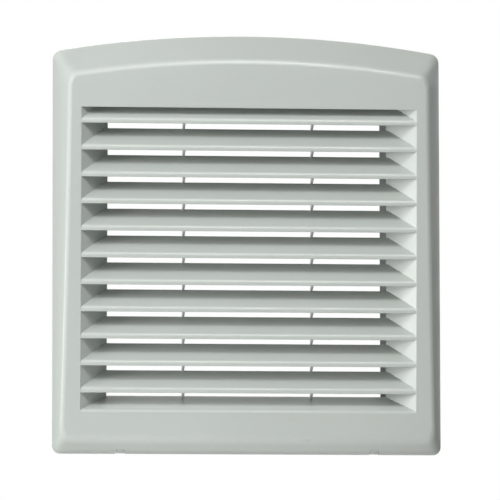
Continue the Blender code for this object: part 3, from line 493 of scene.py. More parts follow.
def cover_stations(form):
    """Matched points of the outline and of the face's ridge.

    They run from the bottom centre round the right side to the top centre. With them come the
    rim and fillet sizes at each, and the two stations at the corners of the louvre field.
    """
    c = form.cover
    styles = [np.array((rim, *fillets, bulge)) for rim, fillets, bulge in (
        (c.rim_bottom, c.bottom_fillets, 0.0), (c.rim_side, c.side_fillets, c.bulge),
        (c.rim_top, c.top_fillets, 0.0))]
    half, low = c.half_width, -c.bottom
    low_x = half - form.side_bevel(form.ridge_bottom) - c.ridge_bottom_corner
    low_z = form.ridge_bottom + c.ridge_bottom_corner
    ridge_corner = form.top_corner(half - c.bevel_top, c.top_bevel, c.ridge_top_corner, 24)
    high_x, high_z = ridge_corner[-1][0], ridge_corner[0][1]
    outlines, ridges, rims = [], [], []

    x = np.linspace(0.0, low_x, 44, endpoint=False)
    outlines.append(np.stack([x, np.full_like(x, low)], -1))
    ridges.append(np.stack([x, np.full_like(x, form.ridge_bottom)], -1))
    rims.append(np.tile(styles[0], (len(x), 1)))

    t = np.linspace(0.0, 1.0, 24, endpoint=False)
    turn = arc((half - c.bottom_corner, low + c.bottom_corner), c.bottom_corner,
               -math.pi / 2, 0.0, 16)
    outer = np.concatenate(([(low_x, low)], turn, [(half, low_z)]))
    a = (t - 1) * math.pi / 2
    shift = (form.side_bevel(form.ridge_bottom) - form.side_bevel(low_z)) * t ** 2
    outlines.append(resampled(outer, t))
    ridges.append(np.stack([low_x + c.ridge_bottom_corner * np.cos(a) + shift,
                            low_z + c.ridge_bottom_corner * np.sin(a)], -1))
    rims.append(styles[0] + (styles[1] - styles[0]) * t[:, None])

    z = np.linspace(low_z, high_z, 90, endpoint=False)
    outlines.append(np.stack([np.full_like(z, half), z], -1))
    ridges.append(np.stack([half - form.side_bevel(z), z], -1))
    rims.append(np.tile(styles[1], (len(z), 1)))

    t = np.linspace(0.0, 1.0, 28, endpoint=False)
    corner = form.top_corner(half, 0.0, c.top_corner, 16)
    over = np.linspace(corner[-1][0], high_x, 9)[1:]
    outer = np.concatenate(([(half, high_z)], corner, np.stack([over, form.arch(over)], -1)))
    ridge = resampled(ridge_corner, t)
    ridge[:, 0] += (c.bevel_top - form.side_bevel(high_z)) * (1 - t) ** 2
    outlines.append(resampled(outer, t))
    ridges.append(ridge)
    rims.append(styles[1] + (styles[2] - styles[1]) * t[:, None])

    x = np.linspace(high_x, 0.0, 61)
    outlines.append(np.stack([x, form.arch(x)], -1))
    ridges.append(np.stack([x, form.arch(x, c.top_bevel)], -1))
    rims.append(np.tile(styles[2], (len(x), 1)))
    counts = np.cumsum([len(part) for part in outlines])
    corners = (counts[0] + 12, counts[2] + 14)
    return np.concatenate(outlines), np.concatenate(ridges), np.concatenate(rims), corners


def bevel_profile(span, depth, rims, wall, standoff):
    """Rim, bevel and ridge as distances inwards and forwards, a row for each station.

    The rim's corner and the ridge are arcs that touch the straight bevel between them,
    which leans by atan(span / (depth - rim)). The wall moves it all inwards. The bulge then
    moves each point outwards by 4 bulge run s (1 - s), with s its share of the bevel's run.
    """
    least = 0.5 * MM
    rim, rim_fillet, ridge_fillet, bulge = rims.T
    slant = np.arctan2(span, depth - rim)
    run = np.hypot(span, depth - rim)
    turn_rim, turn_ridge = np.tan(slant / 2), np.tan((math.pi / 2 - slant) / 2)
    rim_corner = rim - wall * turn_rim
    ridge_u, ridge_v = span + wall * turn_ridge, depth - wall
    start = np.minimum(np.maximum(rim_fillet - wall, least),
                       0.9 * (rim_corner - standoff) / turn_rim)
    end = np.maximum(ridge_fillet - wall, least)
    limit = np.minimum(0.96 * run / (start * turn_rim + end * turn_ridge), 1.0)
    start, end = start * limit, end * limit

    a = math.pi - slant[:, None] * np.linspace(0.0, 1.0, 9)
    first = (wall + start[:, None] * (1 + np.cos(a)),
             (rim_corner - start * turn_rim)[:, None] + start[:, None] * np.sin(a))
    back = end * turn_ridge
    centre_u, centre_v = ridge_u + back, ridge_v - end
    begin = np.arctan2(ridge_v - np.cos(slant) * back - centre_v,
                       ridge_u - np.sin(slant) * back - centre_u)
    a = begin[:, None] + (math.pi / 2 - begin)[:, None] * np.linspace(0.0, 1.0, 15)
    second = (centre_u[:, None] + end[:, None] * np.cos(a),
              centre_v[:, None] + end[:, None] * np.sin(a))
    between = np.linspace(0.0, 1.0, 8)[1:-1]
    first = [np.concatenate((p, p[:, -1:] + (q[:, :1] - p[:, -1:]) * between), 1)
             for p, q in zip(first, second)]

    def bulged(u, v):
        sine, cosine = np.sin(slant)[:, None], np.cos(slant)[:, None]
        s = np.clip((u * sine + (v - rim[:, None]) * cosine) / run[:, None], 0.0, 1.0)
        out = 4 * (bulge * run)[:, None] * s * (1 - s)
        return u - out * cosine, v + out * sine

    return bulged(*first), bulged(*second)


def smooth_step(t):
    """3 t^2 - 2 t^3, with t held between 0 and 1."""
    t = np.clip(t, 0.0, 1.0)
    return t * t * (3 - 2 * t)


def cover_grid(form):
    """The cover's shell as one closed surface of two parameters, with the wear of its edges.

    One parameter runs round the outline. The other runs round the section of the wall: the
    rim, the bevel, the face, the inside of the duct, its outside, the hidden face of the
    wall and back to the rim.
    """
    c, lv = form.cover, form.louvres
    outline, ridge, rims, (first_corner, second_corner) = cover_stations(form)
    across = ridge - outline
    span = np.linalg.norm(across, axis=1)
    unit = across / span[:, None]
    depth = form.face_depth(ridge[:, 1])

    def placed(u, v):
        return np.stack([outline[:, :1] + unit[:, :1] * u, -v,
                         outline[:, 1:] + unit[:, 1:] * u], -1)

    def met(u, v, wall):
        """Bends the ridge by D (3t^2 - 2t^3) + k L (t^3 - t^2) so that it runs into the face."""
        reach = u[:, -1:] - u[:, :1]
        t = (u - u[:, :1]) / reach
        z = outline[:, 1] + unit[:, 1] * u[:, -1]
        gap = (form.face_depth(z) - wall - v[:, -1])[:, None]
        slope = (form.face_slope(z) * unit[:, 1])[:, None] * reach
        return v + gap * (3 * t ** 2 - 2 * t ** 3) + slope * (t ** 3 - t ** 2)

    def section(wall):
        """The rim and the ridge, on the face that lies the wall inside the outer one."""
        rim, (u, v) = bevel_profile(span, depth, rims, wall, c.standoff)
        return placed(*rim), placed(u, met(u, v, wall))

    outer_rim, outer_ridge = section(0.0)
    inner_rim, inner_ridge = section(c.wall)

    # Shares of the way across and up the louvre field
    along = np.concatenate(([0.0], np.cumsum(np.linalg.norm(np.diff(ridge, axis=0), axis=1))))
    low, high = along[first_corner], along[second_corner]
    fx = np.minimum(along / low, (along[-1] - along) / (along[-1] - high))
    fx = np.clip(fx, 0.0, 1.0)[:, None]
    fz = np.clip((along - low) / (high - low), 0.0, 1.0)[:, None]

    nose = form.nose_depths(form.sill_slope, lv.sill_nose, 14)[1:]
    steps = np.linspace(0.0, 1.0, 6)[1:]
    fine = np.concatenate((nose, nose[-1] + (lv.duct_depth - nose[-1]) * steps))
    even = lv.duct_depth * np.linspace(0.04, 1.0, len(fine))
    blend = smooth_step(fz / 0.05)
    depths = np.concatenate((0 * fz, fine + (even - fine) * blend), 1)
    rise = lv.top_rise / lv.depth

    def duct(d, lower, side, wall, first):
        """The duct at depth d, from its lower face to its upper one, as far out as the walls."""
        upper = lv.field_top + wall
        z0 = first + (upper - first) * fz
        return np.stack(np.broadcast_arrays(
            fx * (form.field_half(d) + side), d - form.face_depth(z0),
            lower + (upper + rise * d - lower) * fz), -1)

    inside = duct(depths, form.sill(depths), 0.0, 0.0, form.sill(0.0))
    wall = c.wall * math.hypot(1.0, form.sill_slope)
    first = form.sill(np.array(lv.duct_depth)) - form.sill_slope * lv.duct_depth - wall
    outer_depths = np.linspace(lv.duct_depth, c.wall, 5)[None, :] + 0 * fz
    outside = duct(outer_depths, first + form.sill_slope * outer_depths,
                   c.wall * math.hypot(1.0, lv.taper), wall, first)
    outside[:, -1, 1] = c.wall - form.face_depth(outside[:, -1, 2])

    def face(a, b, wall, steps):
        """Straight in X and Z from a to b, and at the depth of the face in Y."""
        t = np.linspace(0.0, 1.0, steps + 1)[1:-1, None]
        points = a[:, None] + (b - a)[:, None] * t
        points[..., 1] = wall - form.face_depth(points[..., 2])
        return points

    none = 0 * span[:, None]
    back_outer = placed(none, c.standoff + none)[:, 0]
    back_inner = placed(c.wall + none, c.standoff + none)[:, 0]
    front = face(outer_ridge[:, -1], inside[:, 0], 0.0, 10)
    hidden = face(outside[:, -1], inner_ridge[:, -1], c.wall, 5)
    parts = [
        (rounded(back_inner, back_outer, outer_rim[:, 0], c.edge), 0.5),
        (outer_rim[:, 1:], 0.0),
        (outer_ridge, 1.0),
        (front, 0.0),
        (rounded(front[:, -1], inside[:, 0], inside[:, 1], c.edge, 5), 1.0),
        (inside[:, 1:-1], 0.0),
        (rounded(inside[:, -2], inside[:, -1], outside[:, 0], c.edge), 0.6),
        (rounded(inside[:, -1], outside[:, 0], outside[:, 1], c.edge), 0.6),
        (outside[:, 1:], 0.0),
        (hidden, 0.0),
        (inner_ridge[:, ::-2], 0.0),
        (inner_rim[:, ::-2], 0.0),
        (rounded(inner_rim[:, 0], back_inner, back_outer, c.edge), 0.5),
    ]
    right = np.concatenate([part for part, _ in parts], 1)
    bumps = [value * np.sin(np.linspace(0.0, math.pi, part.shape[1])) for part, value in parts]
    grid = np.concatenate((right, right[-2:0:-1] * (-1, 1, 1)))
    wear = np.broadcast_to(np.concatenate(bumps), grid.shape[:2])
    return grid, wear


def blade_profile(form):
    """Closed outline of a blade's section as depth and height, its wear, and the slope below.

    It has a flat lip, a round nose, a straight slope, a cut back and a straight underside.
    """
    lv = form.louvres
    slope = (lv.rise - lv.line_start) / lv.depth
    depths = form.nose_depths(slope, lv.nose, 18)
    nose = np.stack([depths, form.nose_height(depths, lv.line_start, slope, lv.nose)], -1)
    under = (lv.rise - lv.back) / (lv.depth - FLAT_LIP)
    corner = np.array([(FLAT_LIP, 0.0), (0.0, 0.0), (lv.depth, lv.rise),
                       (lv.depth, lv.rise - lv.back)])
    before = np.array([corner[3], corner[0], nose[-1], corner[2]])
    after = np.array([corner[1], nose[0], corner[3], corner[0]])
    radius = np.array([(lv.lip_rounding,), (lv.lip_rounding * 2.2,), (0.5 * MM,), (0.5 * MM,)])
    turns = rounded(before, corner, after, radius, 6)
    t = np.linspace(0.0, 1.0, 8)[1:-1, None]
    slope_points = nose[-1] + (turns[2, 0] - nose[-1]) * t
    under_points = turns[3, -1] + (turns[0, 0] - turns[3, -1]) * t
    points = np.concatenate((turns[0], turns[1], nose, slope_points, turns[2], turns[3],
                             under_points))
    nose_wear = 0.6 * np.sin(np.linspace(0.4, math.pi, len(nose)))
    wear = np.concatenate((np.repeat((0.4, 1.0), 6), nose_wear,
                           np.repeat((0.0, 0.5, 0.5, 0.0), 6)))
    return points, wear, under


def blade_grid(form, lip, profile):
    """A blade: its section carried across the field, with ends mitred into the duct's walls."""
    e = np.linspace(-1.0, 1.0, 13)[:, None]
    depth, rise = profile.T
    x = e * (form.field_half(depth) + form.cover.wall / 2)
    y = depth - form.face_depth(lip) + 0 * e
    return np.stack([x, y, lip + rise + 0 * e], -1)


# ---- Materials ----

def add(tree, kind, inputs=None, **values):
    """New node, with its settings, and its inputs set or linked."""
    node = tree.nodes.new(kind)
    for key, value in values.items():
        setattr(node, key, value)
    for key, value in (inputs or {}).items():
        if isinstance(value, bpy.types.NodeSocket):
            tree.links.new(value, node.inputs[key])
        else:
            node.inputs[key].default_value = value
    return node


def noise(tree, place, scale, detail=2.0):
    """Noise with the given number of waves to a metre."""
    return add(tree, "ShaderNodeTexNoise", {
        "Vector": place, "Scale": scale, "Detail": detail}).outputs["Fac"]


def mapped(tree, value, low, high, start=0.3, end=0.7):
    """Maps the values from start to end onto low to high, and holds the rest at the ends."""
    return add(tree, "ShaderNodeMapRange", {
        "Value": value, "From Min": start, "From Max": end, "To Min": low, "To Max": high},
        clamp=True).outputs["Result"]


def maths(tree, operation, a, b):
    """One sum or product of two values."""
    return add(tree, "ShaderNodeMath", {0: a, 1: b}, operation=operation).outputs[0]


def bumped(tree, heights):
    """Normal from several heights, each with the depth that it stands for in metres."""
    normal = None
    for value, depth in heights:
        inputs = {"Height": value, "Distance": depth, "Strength": 1.0}
        if normal is not None:
            inputs["Normal"] = normal
        normal = add(tree, "ShaderNodeBump", inputs).outputs["Normal"]
    return normal


def tinted(tree, shader, base, factor):
    """The base colour times a factor, as the shader's colour."""
    tint = add(tree, "ShaderNodeVectorMath", {0: base, "Scale": factor}, operation="SCALE")
    tree.links.new(tint.outputs["Vector"], shader.inputs["Base Color"])


def edge_wear(tree):
    """The wear that a piece carries in its "edge" attribute."""
    return add(tree, "ShaderNodeAttribute", attribute_name="edge").outputs["Fac"]


def new_material(name):
    """A material with its tree, its shader and the place on the object."""
    material = bpy.data.materials.new(name)
    material.use_nodes = True
    tree = material.node_tree
    place = add(tree, "ShaderNodeTexCoord").outputs["Object"]
    return material, tree, tree.nodes["Principled BSDF"], place


def plastic(name, base, roughness, grain):
    """Moulded plastic: faint clouds in the colour, fine grain, and paler, smoother edges."""
    material, tree, shader, place = new_material(name)
    scuffs = mapped(tree, noise(tree, place, 420.0, 3.0), 0.3, 1.0)
    worn = maths(tree, "MULTIPLY", edge_wear(tree), scuffs)
    clouds = mapped(tree, noise(tree, place, 11.0, 3.0), 0.985, 1.015)
    specks = mapped(tree, noise(tree, place, 900.0, 1.0), 0.99, 1.01)
    lift = mapped(tree, worn, 1.0, 1.05, 0.0, 1.0)
    factor = maths(tree, "MULTIPLY", maths(tree, "MULTIPLY", clouds, specks), lift)
    tinted(tree, shader, base, factor)
    shine = mapped(tree, noise(tree, place, 34.0, 3.0), roughness - 0.05, roughness + 0.05)
    polish = mapped(tree, worn, 0.0, -0.08, 0.0, 1.0)
    tree.links.new(maths(tree, "ADD", shine, polish), shader.inputs["Roughness"])
    normal = bumped(tree, ((noise(tree, place, 95.0, 2.0), grain * 2.5),
                           (noise(tree, place, 2100.0, 2.0), grain)))
    tree.links.new(normal, shader.inputs["Normal"])
    return material


def foam(name, base):
    """Closed-cell foam: matt, with pores and a faint mottle."""
    material, tree, shader, place = new_material(name)
    shader.inputs["Specular IOR Level"].default_value = 0.25
    cells = add(tree, "ShaderNodeTexVoronoi",
                {"Vector": place, "Scale": 1500.0}).outputs["Distance"]
    tinted(tree, shader, base, mapped(tree, noise(tree, place, 160.0, 3.0), 0.75, 1.35))
    tree.links.new(mapped(tree, cells, 0.82, 0.96, 0.0, 0.6), shader.inputs["Roughness"])
    tree.links.new(bumped(tree, ((cells, 0.00012),)), shader.inputs["Normal"])
    return material


def steel(name, base, roughness, stretch):
    """Plated or rolled steel: patches in the colour, and streaks drawn out by the stretch."""
    material, tree, shader, place = new_material(name)
    shader.inputs["Metallic"].default_value = 1.0
    streaks_place = add(tree, "ShaderNodeMapping", {
        "Vector": place, "Scale": (1.0, stretch, 1.0)}).outputs["Vector"]
    streaks = noise(tree, streaks_place, 2600.0, 3.0)
    patches = noise(tree, place, 190.0, 3.0)
    lift = mapped(tree, edge_wear(tree), 1.0, 1.18, 0.0, 1.0)
    tinted(tree, shader, base, maths(tree, "MULTIPLY", mapped(tree, patches, 0.86, 1.06), lift))
    shine = maths(tree, "ADD", mapped(tree, streaks, roughness - 0.05, roughness + 0.05),
                  mapped(tree, patches, -0.04, 0.05))
    tree.links.new(shine, shader.inputs["Roughness"])
    tree.links.new(bumped(tree, ((streaks, 0.000006),)), shader.inputs["Normal"])
    return material


def finish_material(slot):
    """The material of a slot, made when it is first asked for."""
    f = settings("finishes")
    name, maker, *values = {
        "grey_plastic": ("cover_plastic", plastic, f.cover_colour, f.cover_roughness, 0.016 * MM),
        "base_plastic": ("frame_plastic", plastic, f.base_colour, f.base_roughness, 0.02 * MM),
        "gasket_foam": ("closed_cell_foam", foam, f.gasket_colour),
        "zinc_steel": ("zinc_plated_steel", steel, f.zinc_colour, 0.32, 1.0),
        "spring_steel": ("rolled_spring_steel", steel, f.spring_colour, 0.42, 0.03),
    }[slot]
    return bpy.data.materials.get(name) or maker(name, *values)


def seen_apart(tree, plain, seen):
    """Mixes two shaders: the camera, gloss and glass see the second, and light the first."""
    path = add(tree, "ShaderNodeLightPath").outputs
    direct = maths(tree, "MAXIMUM", path["Is Camera Ray"], path["Is Glossy Ray"])
    direct = maths(tree, "MAXIMUM", direct, path["Is Transmission Ray"])
    return add(tree, "ShaderNodeMixShader",
               {0: direct, 1: plain.outputs[0], 2: seen.outputs[0]}).outputs[0]


# ---- Operators ----

class GRILLE_OT_cover_shell(bpy.types.Operator):
    """Makes the moulded shell of the hinged cover, with the notches for its hinges"""
    bl_idname = "grille.cover_shell"
    bl_label = "Cover shell"

    def execute(self, context):
        form, fit = CoverForm(), settings("fittings")
        grid, wear = cover_grid(form)
        obj = make_piece("cover_shell", "cover", "grey_plastic", *shell(grid, wrap_rows=True),
                         wear, ("front_cover",))
        y, z = -fit.hinge_depth, fit.hinge_axis - form.cover.bottom
        front, back = y - fit.notch_reach, 2.0 * MM
        low, high = -form.cover.bottom - 2.5 * MM, z + fit.notch_reach
        notch = np.array([(front, low), (back, low), (back, high), (front, high)])
        bore = arc((y, z), fit.knuckle_bore, 0.0, 2 * math.pi, 48)[:-1]
        inner, past = fit.hinge_spacing / 2, 2 * MM
        tools = []
        for side in (-1, 1):
            for outline, start, end in (
                    (notch, fit.notch_start, fit.notch_end),
                    (bore, inner - past, inner + fit.knuckle_length + past)):
                start, end = sorted((side * start, side * end))
                tools.append(cutter("hinge_tool", *plate(outline, start, end, 0.05 * MM)))
        cut(obj, tools)
        return {"FINISHED"}


class GRILLE_OT_blades(bpy.types.Operator):
    """Makes the louvre blades of the cover"""
    bl_idname = "grille.blades"
    bl_label = "Louvre blades"

    def execute(self, context):
        form = CoverForm()
        profile, wear, _ = blade_profile(form)
        grids = [blade_grid(form, lip, profile) for lip in form.lips()]
        points, faces = joined([shell(grid) for grid in grids])
        wear = np.concatenate([np.broadcast_to(wear, grid.shape[:2]).ravel() for grid in grids])
        make_piece("louvre_blades", "cover", "grey_plastic", points, faces, wear)
        return {"FINISHED"}


class GRILLE_OT_webs(bpy.types.Operator):
    """Makes the thin webs that tie each blade to the one below"""
    bl_idname = "grille.webs"
    bl_label = "Webs"

    def execute(self, context):
        form = CoverForm()
        lv = form.louvres
        _, _, under = blade_profile(form)
        rear, inside = lv.depth - 0.5 * MM, lv.back / 2
        below = lv.rise - form.step - inside
        front, foot, chamfer = 1.2 * MM, 1.3 * MM, 0.6 * MM
        back = front + lv.web_width
        corners = np.array([(front, foot), (rear - chamfer, below), (rear, below),
                            (rear, below + 2 * chamfer),
                            (back, under * (back - FLAT_LIP) + inside)])
        webs = [web for lip in form.lips()
                for web in pair(corners + (-form.face_depth(lip), lip), lv.web_spacing, lv.web,
                                0.2 * MM)]
        make_piece("louvre_webs", "cover", "grey_plastic", *joined(webs))
        return {"FINISHED"}


class GRILLE_OT_tongues(bpy.types.Operator):
    """Makes the two latch tongues behind the top of the cover"""
    bl_idname = "grille.tongues"
    bl_label = "Latch tongues"

    def execute(self, context):
        form, fit = CoverForm(), settings("fittings")
        root = 0.7 * form.cover.wall - float(form.face_depth(fit.tongue_height))
        tip, low, high = -fit.tongue_end, fit.tongue_height, fit.tongue_height + fit.tongue
        lead, chamfer = 0.6 * MM, 0.2 * MM
        outline = np.array([(root, low), (tip - 2 * lead, low), (tip, low + lead),
                            (tip, high - chamfer), (tip - 2 * chamfer, high), (root, high)])
        tongues = pair(outline, fit.latch_spacing, fit.latch_width, 0.25 * MM)
        make_piece("latch_tongues", "cover", "grey_plastic", *joined(tongues))
        return {"FINISHED"}


class GRILLE_OT_knuckles(bpy.types.Operator):
    """Makes the two hinge knuckles at the bottom of the cover"""
    bl_idname = "grille.knuckles"
    bl_label = "Hinge knuckles"

    def execute(self, context):
        form, fit = CoverForm(), settings("fittings")
        c = form.cover
        axis = np.array((-fit.hinge_depth, fit.hinge_axis - c.bottom))
        span = np.array([form.ridge_bottom + c.bottom])
        rims = np.array([(c.rim_bottom, *c.bottom_fillets, 0.0)])
        depth = form.face_depth(np.array([form.ridge_bottom]))
        (u, v), _ = bevel_profile(span, depth, rims, 0.1 * MM, c.standoff)
        rim = np.stack([-v[0], u[0] - c.bottom], -1)
        rim = np.concatenate(([(-c.standoff, rim[0, 1])], rim))
        # The section is a circle cut off by the rim: each ray from the axis ends at the nearer
        angles = np.linspace(0.0, 2 * math.pi, 64, endpoint=False)
        ray = np.stack([np.cos(angles), np.sin(angles)], -1)
        a, edge = rim[:-1] - axis, np.diff(rim, axis=0)
        cross = ray[:, None, 0] * edge[None, :, 1] - ray[:, None, 1] * edge[None, :, 0]
        cross = np.where(np.abs(cross) < 1e-12, 1e-12, cross)
        t = (a[None, :, 0] * edge[None, :, 1] - a[None, :, 1] * edge[None, :, 0]) / cross
        s = (a[None, :, 0] * ray[:, None, 1] - a[None, :, 1] * ray[:, None, 0]) / cross
        hits = np.where((t > 0) & (s >= 0) & (s <= 1), t, 1.0).min(1)
        reach = np.minimum(hits, fit.knuckle_radius)
        soft, bore = 0.25 * MM, fit.knuckle_bore
        start = fit.hinge_spacing / 2
        end = start + fit.knuckle_length
        loop = [(start, bore + soft, 0), (start + soft, bore, 0), (end - soft, bore, 0),
                (end, bore + soft, 0), (end, -soft, 1), (end - soft, 0.0, 1),
                (start + soft, 0.0, 1), (start, -soft, 1)]
        pieces = []
        for side in (-1, 1):
            rings = [np.stack([np.full_like(reach, side * x),
                               axis[0] + ray[:, 0] * (r + reach * outer),
                               axis[1] + ray[:, 1] * (r + reach * outer)], -1)
                     for x, r, outer in loop]
            pieces.append(shell(np.stack(rings), wrap_rows=True))
        make_piece("hinge_knuckles", "cover", "grey_plastic", *joined(pieces))
        return {"FINISHED"}


class GRILLE_OT_screws(bpy.types.Operator):
    """Makes the four countersunk fixing screws with their threads and cross recesses"""
    bl_idname = "grille.screws"
    bl_label = "Fixing screws"

    def execute(self, context):
        fit = settings("fittings")
        shank, cone = 1.95 * MM, 1.7 * MM
        rim, edge, fade = 0.02 * MM, 0.1 * MM, 0.6 * MM
        angle = np.linspace(0.0, 2 * math.pi, 40, endpoint=False)
        for corner in CORNERS:
            node = "fixing_screw_" + corner
            low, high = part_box(node)
            centre = (low + high) / 2
            head, end = (high.x - low.x) / 2, high.y - low.y
            tip = end - 0.5 * MM
            y = np.concatenate(([0.0, rim, edge, cone],
                                np.arange(cone + 0.2 * MM, tip, fit.thread_pitch / 7),
                                [tip, end]))
            radius = np.interp(y, [0.0, rim, edge, cone, tip, end],
                               [head - 0.12 * MM, head - 0.04 * MM, head - 0.01 * MM,
                                shank, shank, shank - 0.5 * MM])
            turn = (y[:, None] / fit.thread_pitch - angle[None, :] / (2 * math.pi)) % 1.0
            groove = np.clip(1.25 * (1 - np.abs(2 * turn - 1)) - 0.1, 0.0, 1.0)
            ends = smooth_step((y - cone - 0.3 * MM) / MM)
            ends *= 1 - smooth_step((y - end + fade) / fade)
            r = radius[:, None] - fit.thread_depth * groove * ends[:, None]
            wear = np.broadcast_to(np.clip(1 - y[:, None] / (0.2 * MM), 0.0, 1.0), r.shape)
            obj = make_piece("screw_" + corner, "base", "zinc_steel",
                             *shell(turned(centre, low.y + y, r, angle)), wear, (node,))
            tools = []
            half, width = fit.recess / 2, fit.recess_width / 2
            depths = np.array([-0.5, 0.0, 0.5, 1.2])[:, None] * MM
            scale = np.array([1.0, 1.0, 0.82, 0.45])[:, None, None]
            for a, b in ((half, width), (width * 0.98, half * 0.98)):
                rings = np.array([(-a, -b), (a, -b), (a, b), (-a, b)]) * scale
                cross = np.stack([centre.x + rings[..., 0], low.y + depths + 0 * rings[..., 0],
                                  centre.z + rings[..., 1]], -1)
                tools.append(cutter("recess_tool", *shell(cross)))
            cut(obj, tools)
        return {"FINISHED"}


class GRILLE_OT_nuts(bpy.types.Operator):
    """Makes the four hexagonal nuts and the four washers behind the panel"""
    bl_idname = "grille.nuts"
    bl_label = "Nuts and washers"

    def execute(self, context):
        angle = np.linspace(0.0, 2 * math.pi, 72, endpoint=False)
        bore = 2.05 * MM
        kinds = (("washer", 0.12 * MM, 0.1 * MM), ("nut", 0.55 * MM, 0.25 * MM))
        wear = np.array([0.0, 0.6, 1.0, 0.6, 0.6, 1.0, 0.6, 0.0, 0.0, 0.0])
        wear = np.broadcast_to(wear[:, None], (len(wear), len(angle)))
        for corner, (kind, edge, bevel) in itertools.product(CORNERS, kinds):
            node = f"{kind}_{corner}"
            low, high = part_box(node)
            centre = (low + high) / 2
            across, thick, tall = high.x - low.x, high.y - low.y, high.z - low.z
            rim = np.full_like(angle, across / 2)
            cone = across / 2 - edge
            if kind == "nut":
                cone = min(across, tall) / 2
                start = 0.0 if across > tall else math.pi / 6
                rim = cone / np.cos((angle + start) % (math.pi / 3) - math.pi / 6)
            face = np.minimum(rim, cone)
            hole, mouth = np.full_like(rim, bore), np.full_like(rim, bore + bevel)
            levels = [(0.0, mouth), (0.0, face * 0.97), (edge * 0.06, face), (edge, rim),
                      (thick - edge, rim), (thick - edge * 0.06, face), (thick, face * 0.97),
                      (thick, mouth), (thick - bevel, hole), (bevel, hole)]
            y, r = (np.array(values) for values in zip(*levels))
            make_piece(node + "_ring", "base", "zinc_steel",
                       *shell(turned(centre, low.y + y, r, angle), wrap_rows=True), wear,
                       (node,), 25.0)
        return {"FINISHED"}


class GRILLE_OT_clips(bpy.types.Operator):
    """Makes the eight spring clips in the walls of the base frame"""
    bl_idname = "grille.clips"
    bl_label = "Spring clips"

    def execute(self, context):
        fit = settings("fittings")
        # Points of the strip's middle line, as distance from the wall's outer face and as depth
        wall, window = 2.2 * MM, 16.7 * MM
        strip, top, lean = fit.clip_strip, 23.1 * MM, math.atan2(4.4, 17.9)
        bend = 0.3 * MM + strip / 2
        path = np.concatenate((
            [(-wall - bend, window + 5 * MM), (-wall - bend, window + 2.5 * MM)],
            arc((-wall, window), bend, math.pi, 1.5 * math.pi, 6),
            arc((0.0, window), bend, 1.5 * math.pi, 2 * math.pi, 6),
            [(bend, window + 3 * MM)],
            arc((bend + MM, top), MM, math.pi, lean, 10),
            [(4.8 * MM, 14.2 * MM)],
            arc((5.0 * MM, 4.95 * MM), 2.0 * MM, lean, -1.25, 7)))
        ahead = np.gradient(path, axis=0)
        ahead /= np.linalg.norm(ahead, axis=1, keepdims=True)
        across = np.stack([-ahead[:, 1], ahead[:, 0]], -1)
        half, thick, soft = fit.clip_width / 2, strip / 2, 0.1 * MM
        a = np.linspace(0.0, math.pi / 2, 4)
        quarter = np.stack([half - soft + soft * np.cos(a), thick - soft + soft * np.sin(a)], -1)
        ring = np.concatenate((quarter, quarter[::-1] * (-1, 1), quarter * (-1, -1),
                               quarter[::-1] * (1, -1)))
        flat = path[:, None] + across[:, None] * ring[None, :, 1:]
        width = np.broadcast_to(ring[None, :, 0], flat.shape[:2])
        wear = np.broadcast_to(np.tile([0.3, 1.0, 1.0, 0.3], 4), flat.shape[:2])
        for place, ((nx, nz), ends) in CLIP_WALLS.items():
            out, deep = Vector((nx, 0, nz)), Vector((0, 1, 0))
            wide = out.cross(deep)
            for end, side in zip(ends, (-1, 1)):
                along = Vector((abs(nz), 0, abs(nx))) * side * fit.clip_spacing / 2
                seat = out * fit.spigot_half + along
                grid = (np.array(seat) + flat[..., :1] * np.array(out)
                        + flat[..., 1:] * np.array(deep) + width[..., None] * np.array(wide))
                make_piece(f"clip_{place}_{end}", "base", "spring_steel", *shell(grid), wear,
                           (f"panel_clip_{place}_{end}",), 40.0)
        return {"FINISHED"}


def softened(node, width, angle=40.0):
    """Points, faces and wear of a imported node's mesh with its sharp edges rounded off.

    The faces that lie in one plane are merged first. The wear is 1 along the middle of
    each rounded edge and 0 where it meets a flat face.
    """
    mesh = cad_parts[node].data.copy()
    work = bmesh.new()
    work.from_mesh(mesh)
    bmesh.ops.remove_doubles(work, verts=work.verts, dist=0.002 * MM)
    bmesh.ops.dissolve_limit(work, angle_limit=math.radians(0.5), verts=work.verts,
                             edges=work.edges)
    for face in work.faces:
        face.material_index = 0
    work.to_mesh(mesh)
    work.free()
    while len(mesh.materials) < 2:
        mesh.materials.append(None)
    obj = linked("edge_tool", mesh)
    bevel = obj.modifiers.new("edges", "BEVEL")
    bevel.width = width
    bevel.segments = 2
    bevel.limit_method = "ANGLE"
    bevel.angle_limit = math.radians(angle)
    bevel.material = 1
    graph = bpy.context.evaluated_depsgraph_get()
    result = bpy.data.meshes.new_from_object(obj.evaluated_get(graph))
    points = np.empty(3 * len(result.vertices))
    result.vertices.foreach_get("co", points)
    corners = np.empty(len(result.loops), dtype=int)
    result.loops.foreach_get("vertex_index", corners)
    sizes, kinds = np.empty((2, len(result.polygons)), dtype=int)
    result.polygons.foreach_get("loop_total", sizes)
    result.polygons.foreach_get("material_index", kinds)
    wear = np.ones(len(result.vertices))
    wear[corners[np.repeat(kinds == 0, sizes)]] = 0.0
    faces = [list(face.vertices) for face in result.polygons]
    bpy.data.objects.remove(obj, do_unlink=True)
    return points.reshape(-1, 3), faces, wear


class GRILLE_OT_base(bpy.types.Operator):
    """Makes the base frame and the foam gasket, with their edges rounded"""
    bl_idname = "grille.base"
    bl_label = "Base frame and gasket"

    def execute(self, context):
        fit = settings("fittings")
        for name, slot, node, edge in (
                ("base_moulding", "base_plastic", "base_frame", fit.base_edge),
                ("gasket_ring", "gasket_foam", "panel_gasket", fit.gasket_edge)):
            make_piece(name, "base", slot, *softened(node, edge), (node,))
        return {"FINISHED"}


